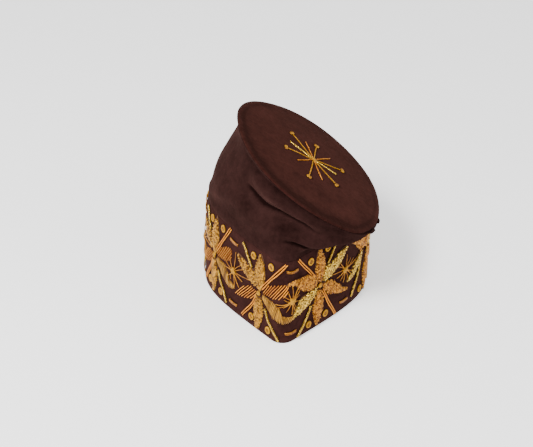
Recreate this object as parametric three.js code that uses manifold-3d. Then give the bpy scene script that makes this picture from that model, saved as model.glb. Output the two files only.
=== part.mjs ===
// A folded cap in brown velvet. A stiff band, pointed in front and behind, carries a repeat of
// gold-thread flowers and starbursts. A soft crown is sewn into the band's top edge and slouches
// to the right and forward, and a round top panel closes it, with one large star worked on it.
// Lengths are in millimetres and angles in degrees. Front is -Y, right is +X and up is +Z.
import * as THREE from 'three';
import { mergeVertices } from 'three/addons/utils/BufferGeometryUtils.js';
import Module from 'manifold-3d';

const wasm = await Module();
wasm.setup();

// Band
const girth = 590; // once round the outside
const bandHeight = 96.5;
const bandWall = 3;
const sideLean = 43.2; // each side leaves the front fold this far off straight back
const sideBend = 6.2; // how tightly a side turns at its widest, against a long even curve
const foldRadius = 14; // outside of the pressed folds in front and behind

// Crown
const crownWall = 2;
const foldDepth = 10; // unit of the crown's bulges and creases
const softReach = 36; // how far the band's pressed folds open out in the crown
const crownRise = 49.7; // centre of the top panel above the band

// Top panel
const topRadius = 86.4;
const topWall = 2;
const topTilt = 34.1;
const topShiftRight = 20.2;
const topShiftFront = 18;
const topDome = 2.5; // rise of the panel's middle over its edge

// Thread work
const seamGap = 0.3; // between any piece and the one that it is sewn to
const relief = 1; // thickness of the couched thread
const cordWidth = 3.4; // the copper double cord
const twistWidth = 2.6; // the gold twisted cord
const rayWidth = 1.3;
const studRadius = 3.7;
const studRise = 1.5;
const eyeRadius = 3.9; // middle of a starburst
const budRadius = 2.6; // round ends of the top star

// The embroidery repeat
const repeats = 8;
const firstStar = 9; // first starburst, to the right of the front fold
const flowerLevel = 0.49; // share of the band's height
const starLevel = 0.51;
// How far right each starburst sits of its even place, as a share of a repeat
const starDrift = [0, 0.024, 0, 0, 0, 0, 0, -0.071];

const radians = THREE.MathUtils.degToRad;

// Materials
const cloth = (color, roughness) => new THREE.MeshStandardMaterial({ color, roughness, metalness: 0 });
const thread = (color, roughness) => new THREE.MeshStandardMaterial({ color, roughness, metalness: 0.6 });
const bandVelvet = cloth(0x3f2425, 0.9);
const crownVelvet = cloth(0x46281f, 0.88);
const topVelvet = cloth(0x4c2b25, 0.88);
const goldThread = thread(0xc39442, 0.45);
const paleThread = thread(0xd9b765, 0.4);
const amberThread = thread(0xd8912a, 0.35);

// Plan of the band

const side = girth / 2;
const lean = radians(sideLean);
const foldHalf = foldRadius * (Math.PI / 2 - lean);

// Heading of the outline, from straight right, at a distance walked from the front fold. Each
// side swings evenly from one lean to the other, and the folds are short tight arcs.
function heading(walked) {
  const along = THREE.MathUtils.euclideanModulo(walked, girth);
  const turned = along < side ? 0 : Math.PI;
  const local = along % side;
  const sideHeading = (place) =>
    Math.PI / 2 + (lean * Math.tanh(sideBend * (place / side - 0.5))) / Math.tanh(sideBend / 2);
  if (local < foldHalf) return turned + (local / foldHalf) * sideHeading(foldHalf);
  if (local > side - foldHalf) {
    return turned + Math.PI - ((side - local) / foldHalf) * sideHeading(foldHalf);
  }
  return turned + sideHeading(local);
}

// The outline is walked in short steps once, and looked up afterwards.
const walkSteps = 1200;
const walk = [new THREE.Vector2(0, 0)];
for (let i = 0; i < walkSteps; i += 1) {
  const step = girth / walkSteps;
  const way = heading((i + 0.5) * step);
  walk.push(new THREE.Vector2(Math.cos(way), Math.sin(way)).multiplyScalar(step).add(walk[i]));
}
const halfLength = walk[walkSteps / 2].y / 2;

function outline(walked) {
  const place = (THREE.MathUtils.euclideanModulo(walked, girth) / girth) * walkSteps;
  const before = Math.floor(place);
  const point = walk[before].clone().lerp(walk[Math.min(before + 1, walkSteps)], place - before);
  return new THREE.Vector3(point.x, point.y - halfLength, 0);
}

function outlineNormal(walked) {
  const way = heading(walked);
  return new THREE.Vector3(Math.sin(way), -Math.cos(way), 0);
}

// A spot on the band's outer face: distance round it, height, and distance out from it
function onBand(around, height, out) {
  return outline(around).addScaledVector(outlineNormal(around), out).setZ(height);
}

// Plane of the top panel

const tilt = radians(topTilt);
const topCentre = new THREE.Vector3(topShiftRight, -topShiftFront, bandHeight + crownRise);
const topAcross = new THREE.Vector3(Math.cos(tilt), 0, -Math.sin(tilt));
const topBack = new THREE.Vector3(0, 1, 0);
const topUp = new THREE.Vector3().crossVectors(topAcross, topBack);

const domeAt = (across, back) => topDome * (1 - (across ** 2 + back ** 2) / topRadius ** 2);

// A spot over the panel's face: across and back from its centre, and distance out from it
function onTop(across, back, out) {
  return topCentre
    .clone()
    .addScaledVector(topAcross, across)
    .addScaledVector(topBack, back)
    .addScaledVector(topUp, domeAt(across, back) + out);
}

// Rows round the cap, each placed by its share of a turn from the front: any value of theirs is
// joined by a smooth closed curve.
function throughRows(rows, at, valueOf) {
  const count = rows.length;
  const row = (i) => rows[(i + count) % count];
  const place = (i) => row(i).at + Math.floor(i / count);
  let i = 0;
  while (i < count - 1 && rows[i + 1].at <= at) i += 1;
  const span = place(i + 1) - place(i);
  const s = (at - place(i)) / span;
  const value = (j) => valueOf(row(j));
  const slope = (j) => ((value(j + 1) - value(j - 1)) / (place(j + 1) - place(j - 1))) * span;
  return (
    (2 * s ** 3 - 3 * s ** 2 + 1) * value(i) + (s ** 3 - 2 * s ** 2 + s) * slope(i) +
    (3 * s ** 2 - 2 * s ** 3) * value(i + 1) + (s ** 3 - s ** 2) * slope(i + 1)
  );
}

// The panel isn't quite round: it is drawn out at the front right and the back left.
const panelEdge = [
  { at: 0, reach: 0.951 },
  { at: 0.06, reach: 0.985 },
  { at: 0.11, reach: 1.035 },
  { at: 0.16, reach: 1.02 },
  { at: 0.25, reach: 0.995 },
  { at: 0.34, reach: 1.018 },
  { at: 0.45, reach: 0.987 },
  { at: 0.58, reach: 0.97 },
  { at: 0.69, reach: 1.015 },
  { at: 0.78, reach: 0.958 },
  { at: 0.9, reach: 0.943 },
];

// A spot over the panel by its place round from the front, as a share of the way to the edge
function panelSpot(at, share, out) {
  const angle = (at - 0.25) * 2 * Math.PI;
  const reach = share * topRadius * throughRows(panelEdge, at, (row) => row.reach);
  return onTop(reach * Math.cos(angle), reach * Math.sin(angle), out);
}

// Meshes from rows of points

function meshGeometry(points, triangles) {
  const geometry = new THREE.BufferGeometry();
  geometry.setAttribute('position', new THREE.Float32BufferAttribute(points.flatMap((p) => p.toArray()), 3));
  geometry.setIndex(triangles);
  return geometry;
}

// Closed rings, each joined to the next and the last to the first, make a hollow hoop. The
// rings run anticlockwise seen from above, up the outside and down the inside.
function hoopGeometry(rings) {
  const count = rings[0].length;
  const triangles = [];
  rings.forEach((ring, r) => {
    const next = (r + 1) % rings.length;
    for (let i = 0; i < count; i += 1) {
      const j = (i + 1) % count;
      triangles.push(r * count + i, r * count + j, next * count + j);
      triangles.push(r * count + i, next * count + j, next * count + i);
    }
  });
  return meshGeometry(rings.flat(), triangles);
}

// Rings between two end points make a solid disc.
function discGeometry(first, rings, last) {
  const count = rings[0].length;
  const points = [first, ...rings.flat(), last];
  const end = points.length - 1;
  const triangles = [];
  for (let i = 0; i < count; i += 1) {
    const j = (i + 1) % count;
    triangles.push(0, 1 + j, 1 + i);
    for (let r = 0; r < rings.length - 1; r += 1) {
      const low = 1 + r * count;
      const high = low + count;
      triangles.push(low + i, low + j, high + j, low + i, high + j, high + i);
    }
    triangles.push(end, end - count + i, end - count + j);
  }
  return meshGeometry(points, triangles);
}

// Band: its stations close up where the outline turns quickly.

const straightStep = 12; // longest facet of the band
const turnStep = radians(9); // largest turn between two facets

function bandStations() {
  const stations = [0];
  let last = 0;
  for (let i = 1; i < walkSteps / 2; i += 1) {
    const here = (i / walkSteps) * girth;
    const turned = heading(here) - heading(last);
    if (turned > turnStep || here - last > straightStep) {
      stations.push(here);
      last = here;
    }
  }
  return [...stations, ...stations.map((place) => place + side)];
}

function bandGeometry() {
  const ring = (height, out) => bandStations().map((place) => onBand(place, height, out));
  return hoopGeometry([
    ring(0, 0),
    ring(bandHeight, 0),
    ring(bandHeight, -bandWall),
    ring(0, -bandWall),
  ]);
}

// Crown: upright sections round the cap, by their share of the girth from the front fold. Each
// station of a section is a share of the way from the band's seam to the edge of the top
// panel, then how far it stands out and up from there in shares of foldDepth. The cloth
// springs from the seam, turns out over a lip that hangs on the right, bellies, dips into a
// crease, rolls over and tucks under the panel.
const crownSections = [
  { at: 0.0, spring: [0.12, 0.05, 0], lip: [0.3, 0.2, 0], belly: [0.46, 0.5, 0],
    crease: [0.7, -0.3, 0], roll: [0.86, 0.45, 0], tuck: [0.97, -0.05, 0] },
  { at: 0.05, spring: [0.1, -0.15, 0.15], lip: [0.25, 0.35, -0.05], belly: [0.45, 0.8, 0],
    crease: [0.68, 0.5, 0], roll: [0.85, 0.45, 0], tuck: [0.96, 0.05, -0.05] },
  { at: 0.09, spring: [0.12, 0, 0.2], lip: [0.5, 0.65, -0.15], belly: [0.66, 0.85, -0.05],
    crease: [0.8, 0.65, 0], roll: [0.9, 0.4, 0], tuck: [0.97, 0.12, -0.05] },
  { at: 0.14, spring: [0.2, 0.05, 0.15], lip: [0.8, 0.2, -0.55], belly: [0.92, 0.3, -0.45],
    crease: [0.98, 0.25, -0.32], roll: [1, 0.2, -0.2], tuck: [1, 0.08, -0.1] },
  { at: 0.19, spring: [0.3, 0.2, 0.05], lip: [0.7, 0.1, -0.35], belly: [0.86, 0.15, -0.35],
    crease: [0.96, 0.15, -0.28], roll: [1, 0.12, -0.18], tuck: [1, 0.06, -0.08] },
  { at: 0.25, spring: [0.3, 0.25, 0.04], lip: [0.6, 0.05, -0.25], belly: [0.8, 0.1, -0.3],
    crease: [0.93, 0.1, -0.25], roll: [1, 0.1, -0.16], tuck: [1, 0.05, -0.08] },
  { at: 0.31, spring: [0.3, 0.2, 0.05], lip: [0.65, 0.1, -0.3], belly: [0.84, 0.15, -0.32],
    crease: [0.95, 0.15, -0.25], roll: [1, 0.12, -0.16], tuck: [1, 0.06, -0.08] },
  { at: 0.38, spring: [0.15, 0.1, 0.05], lip: [0.35, 0.35, 0], belly: [0.55, 0.6, -0.05],
    crease: [0.75, 0.45, -0.05], roll: [0.88, 0.3, -0.05], tuck: [0.97, 0.05, -0.05] },
  { at: 0.5, spring: [0.08, 0.05, 0], lip: [0.2, 0.2, 0], belly: [0.42, 0.5, 0],
    crease: [0.66, 0.1, 0], roll: [0.85, 0.35, 0], tuck: [0.97, 0, 0] },
  { at: 0.62, spring: [0.06, 0, 0], lip: [0.18, 0.1, 0], belly: [0.4, 0.35, 0],
    crease: [0.64, 0.1, 0], roll: [0.84, -0.2, 0], tuck: [0.96, -0.2, 0] },
  { at: 0.75, spring: [0.05, -0.1, 0], lip: [0.16, 0, 0], belly: [0.36, 0.3, 0],
    crease: [0.6, -0.1, 0], roll: [0.8, -0.45, 0], tuck: [0.95, -0.3, 0] },
  { at: 0.85, spring: [0.05, -0.05, 0], lip: [0.16, 0.05, 0], belly: [0.36, 0.35, 0],
    crease: [0.62, 0.05, 0], roll: [0.82, -0.25, 0], tuck: [0.96, -0.2, 0] },
  { at: 0.92, spring: [0.05, 0, 0], lip: [0.16, 0.1, 0], belly: [0.36, 0.4, 0],
    crease: [0.64, -0.2, 0], roll: [0.84, 0.3, 0], tuck: [0.97, -0.05, 0] },
];
const stationNames = ['spring', 'lip', 'belly', 'crease', 'roll', 'tuck'];

// A station's three shares anywhere round the cap
function stationAt(name, at) {
  return [0, 1, 2].map((k) => throughRows(crownSections, at, (row) => row[name][k]));
}

// The way out from the panel's middle, at a share of a turn from the front
function rimDirection(at) {
  const angle = (at - 0.25) * 2 * Math.PI;
  return topAcross.clone().multiplyScalar(Math.cos(angle)).addScaledVector(topBack, Math.sin(angle));
}

// The pressed folds open out in the soft cloth: the outline there is averaged over a stretch
// that grows from nothing at the seam to softReach each way.
const softFrom = 0.4; // share of the way up where the stretch is full
const softTries = 3;

function softSpot(around, share) {
  const reach = softReach * THREE.MathUtils.clamp(share / softFrom, 0, 1);
  const point = new THREE.Vector3();
  const normal = new THREE.Vector3();
  for (let k = -softTries; k <= softTries; k += 1) {
    const place = around + (k / softTries) * reach;
    point.addScaledVector(outline(place), 1 / (2 * softTries + 1));
    normal.add(outlineNormal(place));
  }
  return { point: point.setZ(bandHeight + seamGap), normal: normal.normalize() };
}

const sectionSteps = 12;
const crownSides = 52;

function crownSection(at) {
  const seam = onBand(at * girth, bandHeight + seamGap, 0);
  const rim = panelSpot(at, 1, -topWall - seamGap); // under the panel's edge
  const rimOut = rimDirection(at).setZ(0).normalize();
  const stations = stationNames.map((name) => {
    const [share, out, up] = stationAt(name, at);
    const foot = softSpot(at * girth, share);
    const outward = foot.normal.lerp(rimOut, THREE.MathUtils.clamp(share, 0, 1)).normalize();
    const point = foot.point.lerp(rim, share).addScaledVector(outward, out * foldDepth);
    return point.setZ(point.z + up * foldDepth);
  });
  return new THREE.CatmullRomCurve3([seam, ...stations, rim], false, 'centripetal').getPoints(sectionSteps);
}

function crownGeometry() {
  const sections = [];
  for (let i = 0; i < crownSides; i += 1) sections.push(crownSection(i / crownSides));
  const outer = [];
  const inner = [];
  for (let r = 0; r <= sectionSteps; r += 1) {
    outer.push(sections.map((section) => section[r]));
    inner.push(sections.map((section, i) => {
      const at = i / crownSides;
      if (r === 0) return section[r].clone().addScaledVector(outlineNormal(at * girth), -crownWall);
      if (r === sectionSteps) return section[r].clone().addScaledVector(rimDirection(at), -crownWall);
      const before = sections[(i + crownSides - 1) % crownSides][r];
      const after = sections[(i + 1) % crownSides][r];
      const round = after.clone().sub(before);
      const upward = section[r + 1].clone().sub(section[r - 1]);
      const inside = section[r].clone().addScaledVector(round.cross(upward).normalize(), -crownWall);
      const past = inside.clone().sub(section[sectionSteps]).dot(topUp);
      return inside.addScaledVector(topUp, -Math.max(past, 0));
    }));
  }
  return hoopGeometry([...outer, ...inner.reverse()]);
}

// Top panel: a thin round cushion of cloth, slightly domed

const topSides = 44;
const topRings = [0.5, 1];

function topGeometry() {
  const ring = (share, out) => {
    const points = [];
    for (let i = 0; i < topSides; i += 1) points.push(panelSpot(i / topSides, share, out));
    return points;
  };
  const under = topRings.map((share) => ring(share, -topWall));
  const over = topRings.map((share) => ring(share, 0)).reverse();
  return discGeometry(onTop(0, 0, -topWall), [...under, ...over], onTop(0, 0, 0));
}

// Thread work is drawn flat, given its thickness, joined, and then bent onto what carries it.

function solidFrom(geometry) {
  geometry.deleteAttribute('normal');
  geometry.deleteAttribute('uv');
  const merged = mergeVertices(geometry, 1e-4);
  return new wasm.Manifold(new wasm.Mesh({
    numProp: 3,
    vertProperties: new Float32Array(merged.attributes.position.array),
    triVerts: new Uint32Array(merged.index.array),
  }));
}

function joinedPlate(shapes, curveSegments) {
  const plates = shapes.map((shape) => {
    return solidFrom(new THREE.ExtrudeGeometry(shape, { depth: relief, bevelEnabled: false, curveSegments }));
  });
  return plates.reduce((whole, plate) => whole.add(plate)).getMesh();
}

const bendTolerance = 0.24; // how far a straight edge may cut across the bend that it follows
const edgeTries = 12; // places tried along an edge for its worst cut

// Edges that would cut across the bend are divided at their worst place until none is left.
function bentGeometry(plate, bend) {
  const flat = [];
  for (let i = 0; i < plate.vertProperties.length; i += plate.numProp) {
    flat.push(new THREE.Vector3().fromArray(plate.vertProperties, i));
  }
  const bentPoint = (p) => bend(p.x, p.y, p.z + seamGap);
  const bent = flat.map(bentPoint);
  let triangles = [...plate.triVerts];
  let split = true;
  while (split) {
    split = false;
    const dividers = new Map();
    const dividerOf = (a, b) => {
      const [low, high] = a < b ? [a, b] : [b, a];
      const key = `${low} ${high}`;
      if (!dividers.has(key)) {
        let worst = { cut: bendTolerance };
        for (let i = 1; i < edgeTries; i += 1) {
          const place = flat[low].clone().lerp(flat[high], i / edgeTries);
          const onBend = bentPoint(place);
          const cut = bent[low].clone().lerp(bent[high], i / edgeTries).distanceTo(onBend);
          if (cut > worst.cut) worst = { cut, place, onBend };
        }
        dividers.set(key, worst.place ? flat.push(worst.place) - 1 : -1);
        if (worst.place) bent.push(worst.onBend);
      }
      return dividers.get(key);
    };
    const finer = [];
    for (let t = 0; t < triangles.length; t += 3) {
      const corners = [triangles[t], triangles[t + 1], triangles[t + 2]];
      const cuts = corners.map((corner, k) => dividerOf(corner, corners[(k + 1) % 3]));
      const cutSides = cuts.filter((cut) => cut >= 0).length;
      split = split || cutSides > 0;
      finer.push(...splitTriangle(corners, cuts, cutSides));
    }
    triangles = finer;
  }
  return meshGeometry(bent, triangles);
}

// A triangle divided at a place on one, two or three of its sides
function splitTriangle([a, b, c], [ab, bc, ca], cutSides) {
  if (cutSides === 0) return [a, b, c];
  if (cutSides === 3) return [a, ab, ca, b, bc, ab, c, ca, bc, ab, bc, ca];
  if (cutSides === 1 && ab >= 0) return [a, ab, c, ab, b, c];
  if (cutSides === 2 && ca < 0) return [b, bc, ab, a, ab, bc, a, bc, c];
  return splitTriangle([b, c, a], [bc, ca, ab], cutSides);
}

// Flower chart: shares of the room between two starbursts to the right of the flower's middle,
// and of the band's height above it. A leaf is two curves from the middle to its tip and back,
// each with two guide points. A bar is a straight couched cord.
const flowerLeaves = [
  { out: [[-0.12, 0.12], [-0.12, 0.32]], tip: [0, 0.475], back: [[0.12, 0.32], [0.12, 0.12]] },
  { out: [[0.12, -0.12], [0.12, -0.3]], tip: [-0.01, -0.465], back: [[-0.12, -0.3], [-0.12, -0.12]] },
  { out: [[0.04, 0.26], [0.24, 0.2]], tip: [0.487, 0.275], back: [[0.36, 0.17], [0.3, 0.01]] },
  { out: [[-0.3, 0.01], [-0.36, 0.17]], tip: [-0.487, 0.275], back: [[-0.24, 0.2], [-0.04, 0.26]] },
  { out: [[-0.04, -0.26], [-0.24, -0.2]], tip: [-0.487, -0.265], back: [[-0.36, -0.17], [-0.3, -0.01]] },
  { out: [[0.3, -0.01], [0.36, -0.17]], tip: [0.487, -0.265], back: [[0.24, -0.2], [0.04, -0.26]] },
];
const flowerBars = [
  { from: [0.07, 0.1], to: [0.4, 0.475], width: cordWidth },
  { from: [-0.06, -0.08], to: [-0.31, -0.43], width: cordWidth },
  { from: [-0.05, 0.15], to: [-0.3, 0.475], width: twistWidth },
  { from: [0.08, -0.1], to: [0.33, -0.44], width: twistWidth },
];
const studPlaces = [
  [-0.118, 0.395],
  [0.185, 0.385],
  [-0.13, -0.39],
  [0.155, -0.41],
];

const repeatWidth = girth / repeats;
const leafSegments = 4;

// The flowers left of the front fold lean one way and the others are their mirror image.
const facingOf = (index) => (index < repeats / 2 ? -1 : 1);
const starPlace = (index) => {
  return firstStar + (index + starDrift[index % repeats]) * repeatWidth;
};
const flowerPlace = (index) => (starPlace(index) + starPlace(index + 1)) / 2;
const flowerRoom = (index) => starPlace(index + 1) - starPlace(index);

// A chart point of one flower, in millimetres
const chartPoint = ([across, up], index) => {
  return [across * facingOf(index) * flowerRoom(index), up * bandHeight];
};

function leafShape(leaf, index) {
  const shape = new THREE.Shape();
  const [out1, out2, tip, back1, back2] = [...leaf.out, leaf.tip, ...leaf.back].map((point) => {
    return chartPoint(point, index);
  });
  shape.moveTo(0, 0);
  shape.bezierCurveTo(...out1, ...out2, ...tip);
  shape.bezierCurveTo(...back1, ...back2, 0, 0);
  return shape;
}

function barShape(from, to, width) {
  const start = new THREE.Vector2(...from);
  const end = new THREE.Vector2(...to);
  const across = end.clone().sub(start).normalize().multiplyScalar(width / 2);
  const turned = new THREE.Vector2(-across.y, across.x);
  return new THREE.Shape([
    start.clone().sub(turned),
    end.clone().sub(turned),
    end.clone().add(turned),
    start.clone().add(turned),
  ]);
}

function roundShape([x, y], radius) {
  const shape = new THREE.Shape();
  shape.absarc(x, y, radius, 0, 2 * Math.PI);
  return shape;
}

// Rays spread from a middle: each tapers from the notch beside it to its own tip.
function burstShape(tips, core) {
  const angleOf = ([x, y]) => Math.atan2(y, x);
  const sorted = [...tips].sort((a, b) => angleOf(a) - angleOf(b));
  const points = [];
  sorted.forEach((tip, i) => {
    const end = new THREE.Vector2(...tip);
    const across = new THREE.Vector2(-end.y, end.x).setLength(rayWidth / 2);
    const next = angleOf(sorted[(i + 1) % sorted.length]) + (i === sorted.length - 1 ? 2 * Math.PI : 0);
    const notch = (angleOf(tip) + next) / 2;
    points.push(end.clone().sub(across), end.clone().add(across));
    points.push(new THREE.Vector2(core * Math.cos(notch), core * Math.sin(notch)));
  });
  return new THREE.Shape(points);
}

function flowerGeometry(index) {
  const shapes = [
    roundShape([0, 0], eyeRadius),
    ...flowerLeaves.map((leaf) => leafShape(leaf, index)),
    ...flowerBars.map((bar) => barShape(chartPoint(bar.from, index), chartPoint(bar.to, index), bar.width)),
  ];
  const middle = flowerPlace(index);
  return bentGeometry(joinedPlate(shapes, leafSegments), (x, y, out) => {
    return onBand(middle + x, flowerLevel * bandHeight + y, out);
  });
}

// Starburst chart: the rays fill the eye-shaped opening between two flowers, whose half width
// and half height are shares of the repeat's width and the band's height.
const starRays = 14;
const starReach = { across: 0.18, up: 0.19 };
const eyeCurve = 1.3; // 1 is a plain diamond and 2 an ellipse

function rayTip(angle) {
  const across = starReach.across * repeatWidth;
  const up = starReach.up * bandHeight;
  const sideways = (Math.abs(Math.cos(angle)) / across) ** eyeCurve;
  const upward = (Math.abs(Math.sin(angle)) / up) ** eyeCurve;
  const reach = (sideways + upward) ** (-1 / eyeCurve);
  return [reach * Math.cos(angle), reach * Math.sin(angle)];
}

function starGeometry(index) {
  const tips = [];
  for (let i = 0; i < starRays; i += 1) tips.push(rayTip(((i + 0.5) / starRays) * 2 * Math.PI));
  const middle = starPlace(index);
  return bentGeometry(joinedPlate([burstShape(tips, eyeRadius)], leafSegments), (x, y, out) => {
    return onBand(middle + x, starLevel * bandHeight + y, out);
  });
}

// Top star chart: ray tips right of and behind its middle, in shares of the panel's radius
const starCentre = { across: 0.023, back: 0.056 };
const budRays = [
  [-0.294, 0.271], [0.046, 0.347], [0.41, 0.15],
  [0.331, -0.234], [-0.046, -0.412], [-0.363, -0.102],
];
const plainRays = [
  [-0.306, 0.067], [-0.109, 0.299], [0.243, 0.259],
  [0.324, 0], [0.127, -0.308], [-0.213, -0.234],
];

function topStarGeometry() {
  const spot = ([across, back]) => [across * topRadius, back * topRadius];
  const shapes = [
    burstShape([...budRays, ...plainRays].map(spot), budRadius),
    ...budRays.map((tip) => roundShape(spot(tip), budRadius)),
  ];
  return bentGeometry(joinedPlate(shapes, leafSegments), (x, y, out) => {
    return onTop(starCentre.across * topRadius + x, starCentre.back * topRadius + y, out);
  });
}

// Studs: small rounds of gold purl with a raised middle
const studSides = 8;
const studProfile = [[0, 0], [1, 0], [0.8, 0.8], [0, 1]];

function studMesh(name, around, height) {
  const profile = studProfile.map(([out, up]) => new THREE.Vector2(out * studRadius, up * studRise));
  const geometry = new THREE.LatheGeometry(profile, studSides);
  geometry.deleteAttribute('normal');
  geometry.deleteAttribute('uv');
  const mesh = new THREE.Mesh(mergeVertices(geometry, 1e-4), amberThread);
  mesh.name = name;
  mesh.position.copy(onBand(around, height, seamGap));
  mesh.quaternion.setFromUnitVectors(new THREE.Vector3(0, 1, 0), outlineNormal(around));
  return mesh;
}

function namedMesh(name, geometry, material) {
  const mesh = new THREE.Mesh(geometry, material);
  mesh.name = name;
  return mesh;
}

// The cap

const cap = new THREE.Group();
cap.add(namedMesh('band', bandGeometry(), bandVelvet));
cap.add(namedMesh('crown', crownGeometry(), crownVelvet));
cap.add(namedMesh('top_panel', topGeometry(), topVelvet));
cap.add(namedMesh('top_star', topStarGeometry(), paleThread));
for (let i = 0; i < repeats; i += 1) {
  cap.add(namedMesh(`band_flower_${i + 1}`, flowerGeometry(i), goldThread));
  cap.add(namedMesh(`band_star_${i + 1}`, starGeometry(i), paleThread));
  studPlaces.forEach((place, k) => {
    const [across, up] = chartPoint(place, i);
    const around = flowerPlace(i) + across;
    cap.add(studMesh(`band_stud_${i + 1}_${k + 1}`, around, flowerLevel * bandHeight + up));
  });
}

// The cap stands over the middle of its own outline.
const extent = new THREE.Box3().setFromObject(cap);
const middle = extent.getCenter(new THREE.Vector3());
cap.position.set(-middle.x, -middle.y, 0);

export default cap;
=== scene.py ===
"""A folded cap in brown velvet with gold-thread flowers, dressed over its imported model.

Lengths are worked out in millimetres, in the cap's own plan, and become metres where a mesh is
laid down. Front is -Y, right is +X and up is +Z.
"""

import bpy
import numpy as np
from mathutils import Matrix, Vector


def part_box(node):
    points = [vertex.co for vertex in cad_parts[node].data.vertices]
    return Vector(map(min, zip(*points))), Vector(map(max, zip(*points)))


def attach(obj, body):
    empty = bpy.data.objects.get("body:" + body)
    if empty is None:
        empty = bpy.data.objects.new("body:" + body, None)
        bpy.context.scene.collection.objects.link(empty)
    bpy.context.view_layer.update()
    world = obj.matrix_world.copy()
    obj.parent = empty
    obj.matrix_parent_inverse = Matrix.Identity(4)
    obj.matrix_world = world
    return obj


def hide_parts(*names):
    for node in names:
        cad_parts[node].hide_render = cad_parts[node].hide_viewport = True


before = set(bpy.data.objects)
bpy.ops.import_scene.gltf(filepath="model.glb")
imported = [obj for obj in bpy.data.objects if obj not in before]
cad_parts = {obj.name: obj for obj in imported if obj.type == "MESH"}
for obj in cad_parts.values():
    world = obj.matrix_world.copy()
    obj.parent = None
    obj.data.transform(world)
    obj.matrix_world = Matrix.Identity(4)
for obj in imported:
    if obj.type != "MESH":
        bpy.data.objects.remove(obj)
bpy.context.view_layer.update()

# The band: a stiffened sleeve of velvet, pressed into a sharp fold in front and another behind,
# with its cloth turned in over the lower rim. Everything else on the cap is sewn to it.

GIRTH = 590.0
SIDE = GIRTH / 2
BAND_HEIGHT = 96.5
BAND_WALL = 3.0
SIDE_LEAN = np.radians(43.2)
SIDE_BEND = 6.2
FOLD_RADIUS = 14.0
FOLD_HALF = FOLD_RADIUS * (np.pi / 2 - SIDE_LEAN)  # walked from a fold's middle to its end
WALK_STEPS = 2360


def heading(walked):
    """Heading of the outline, from straight right, at a distance walked from the front fold. A
    side swings by a tanh curve from one lean to the other, and a fold is a short tight arc."""
    along = np.mod(walked, GIRTH)
    local = np.mod(along, SIDE)

    def swing(place):
        return np.pi / 2 + SIDE_LEAN * np.tanh(SIDE_BEND * (place / SIDE - 0.5)) / np.tanh(SIDE_BEND / 2)

    opening = local / FOLD_HALF * swing(FOLD_HALF)
    closing = np.pi - (SIDE - local) / FOLD_HALF * swing(FOLD_HALF)
    way = np.where(local < FOLD_HALF, opening, np.where(local > SIDE - FOLD_HALF, closing, swing(local)))
    return way + np.where(along < SIDE, 0.0, np.pi)


walk_ends = np.linspace(0, GIRTH, WALK_STEPS + 1)
walk_way = heading((walk_ends[:-1] + walk_ends[1:]) / 2)
walk_x = np.concatenate([[0], np.cumsum(np.cos(walk_way))]) * GIRTH / WALK_STEPS
walk_y = np.concatenate([[0], np.cumsum(np.sin(walk_way))]) * GIRTH / WALK_STEPS
walk_y -= walk_y[WALK_STEPS // 2] / 2


def outline(walked):
    """The plan of the band: the running sum of short steps along the heading, looked up."""
    place = np.mod(walked, GIRTH)
    return np.stack([np.interp(place, walk_ends, walk_x), np.interp(place, walk_ends, walk_y)], -1)


def outline_normal(walked):
    """Square to the heading, outwards."""
    way = heading(walked)
    return np.stack([np.sin(way), -np.cos(way)], -1)


PULLS = [(2.6, 0.765, 0.11), (1.9, 0.235, 0.1)]  # how far, at what share of the girth, over what share


def drawn_in(walked, height):
    """The band's two sides are drawn in towards the top by the crown sewn to it: by bells round
    the girth times the cube of the height's share."""
    turn = np.mod(walked, GIRTH) / GIRTH
    bells = sum(far * np.exp(-((turn - at) / reach) ** 2) for far, at, reach in PULLS)
    return -bells * np.clip(height / BAND_HEIGHT, 0, 1) ** 3


def on_band(chart):
    """Chart points (distance round, height, distance out) bent onto the band's outer face: the
    plan at that distance, moved along its normal, at that height."""
    out = chart[..., 2] + drawn_in(chart[..., 0], chart[..., 1])
    plan = outline(chart[..., 0]) + outline_normal(chart[..., 0]) * out[..., None]
    return np.concatenate([plan, chart[..., 1:2]], -1)


band_low, band_high = (np.array(corner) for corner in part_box("band"))
plan_middle = np.append((band_low[:2] + band_high[:2]) / 2, 0.0)
MILLIMETRES = 1000.0  # in a metre


def lay_mesh(name, points, quads, uv=None, shade=None, finish=None):
    """One mesh from arrays: points in the cap's plan, four-cornered faces, and where given the
    UV of each corner, a shade from 0 to 1 for each point and a material number for each face."""
    mesh = bpy.data.meshes.new(name)
    quads = np.ascontiguousarray(quads, np.int32)
    mesh.vertices.add(len(points))
    mesh.vertices.foreach_set("co", (points / MILLIMETRES + plan_middle).astype(np.float32).ravel())
    mesh.loops.add(quads.size)
    mesh.loops.foreach_set("vertex_index", quads.ravel())
    mesh.polygons.add(len(quads))
    mesh.polygons.foreach_set("loop_start", np.arange(0, quads.size, 4, dtype=np.int32))
    mesh.polygons.foreach_set("use_smooth", np.ones(len(quads), bool))
    if finish is not None:
        mesh.polygons.foreach_set("material_index", finish.astype(np.int32))
    mesh.update(calc_edges=True)
    if uv is not None:
        mesh.uv_layers.new(name="thread").data.foreach_set("uv", uv.astype(np.float32).ravel())
    if shade is not None:
        mesh.attributes.new("shade", "FLOAT", "POINT").data.foreach_set("value", shade.astype(np.float32))
    piece = bpy.data.objects.new(name, mesh)
    bpy.context.collection.objects.link(piece)
    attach(piece, "root")
    return piece


def hoop_faces(rows, count, closed):
    """Faces between rows of points that run round the cap, each row joined to the next, and the
    last to the first where the hoop is closed."""
    number = np.arange(rows * count).reshape(rows, count)
    after = np.roll(number, -1, axis=1)
    upper, upper_after = np.roll(number, -1, axis=0), np.roll(after, -1, axis=0)
    faces = np.stack([number, after, upper_after, upper], -1)
    return (faces if closed else faces[:-1]).reshape(-1, 4)


RIPPLE_WAVES = 9


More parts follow.
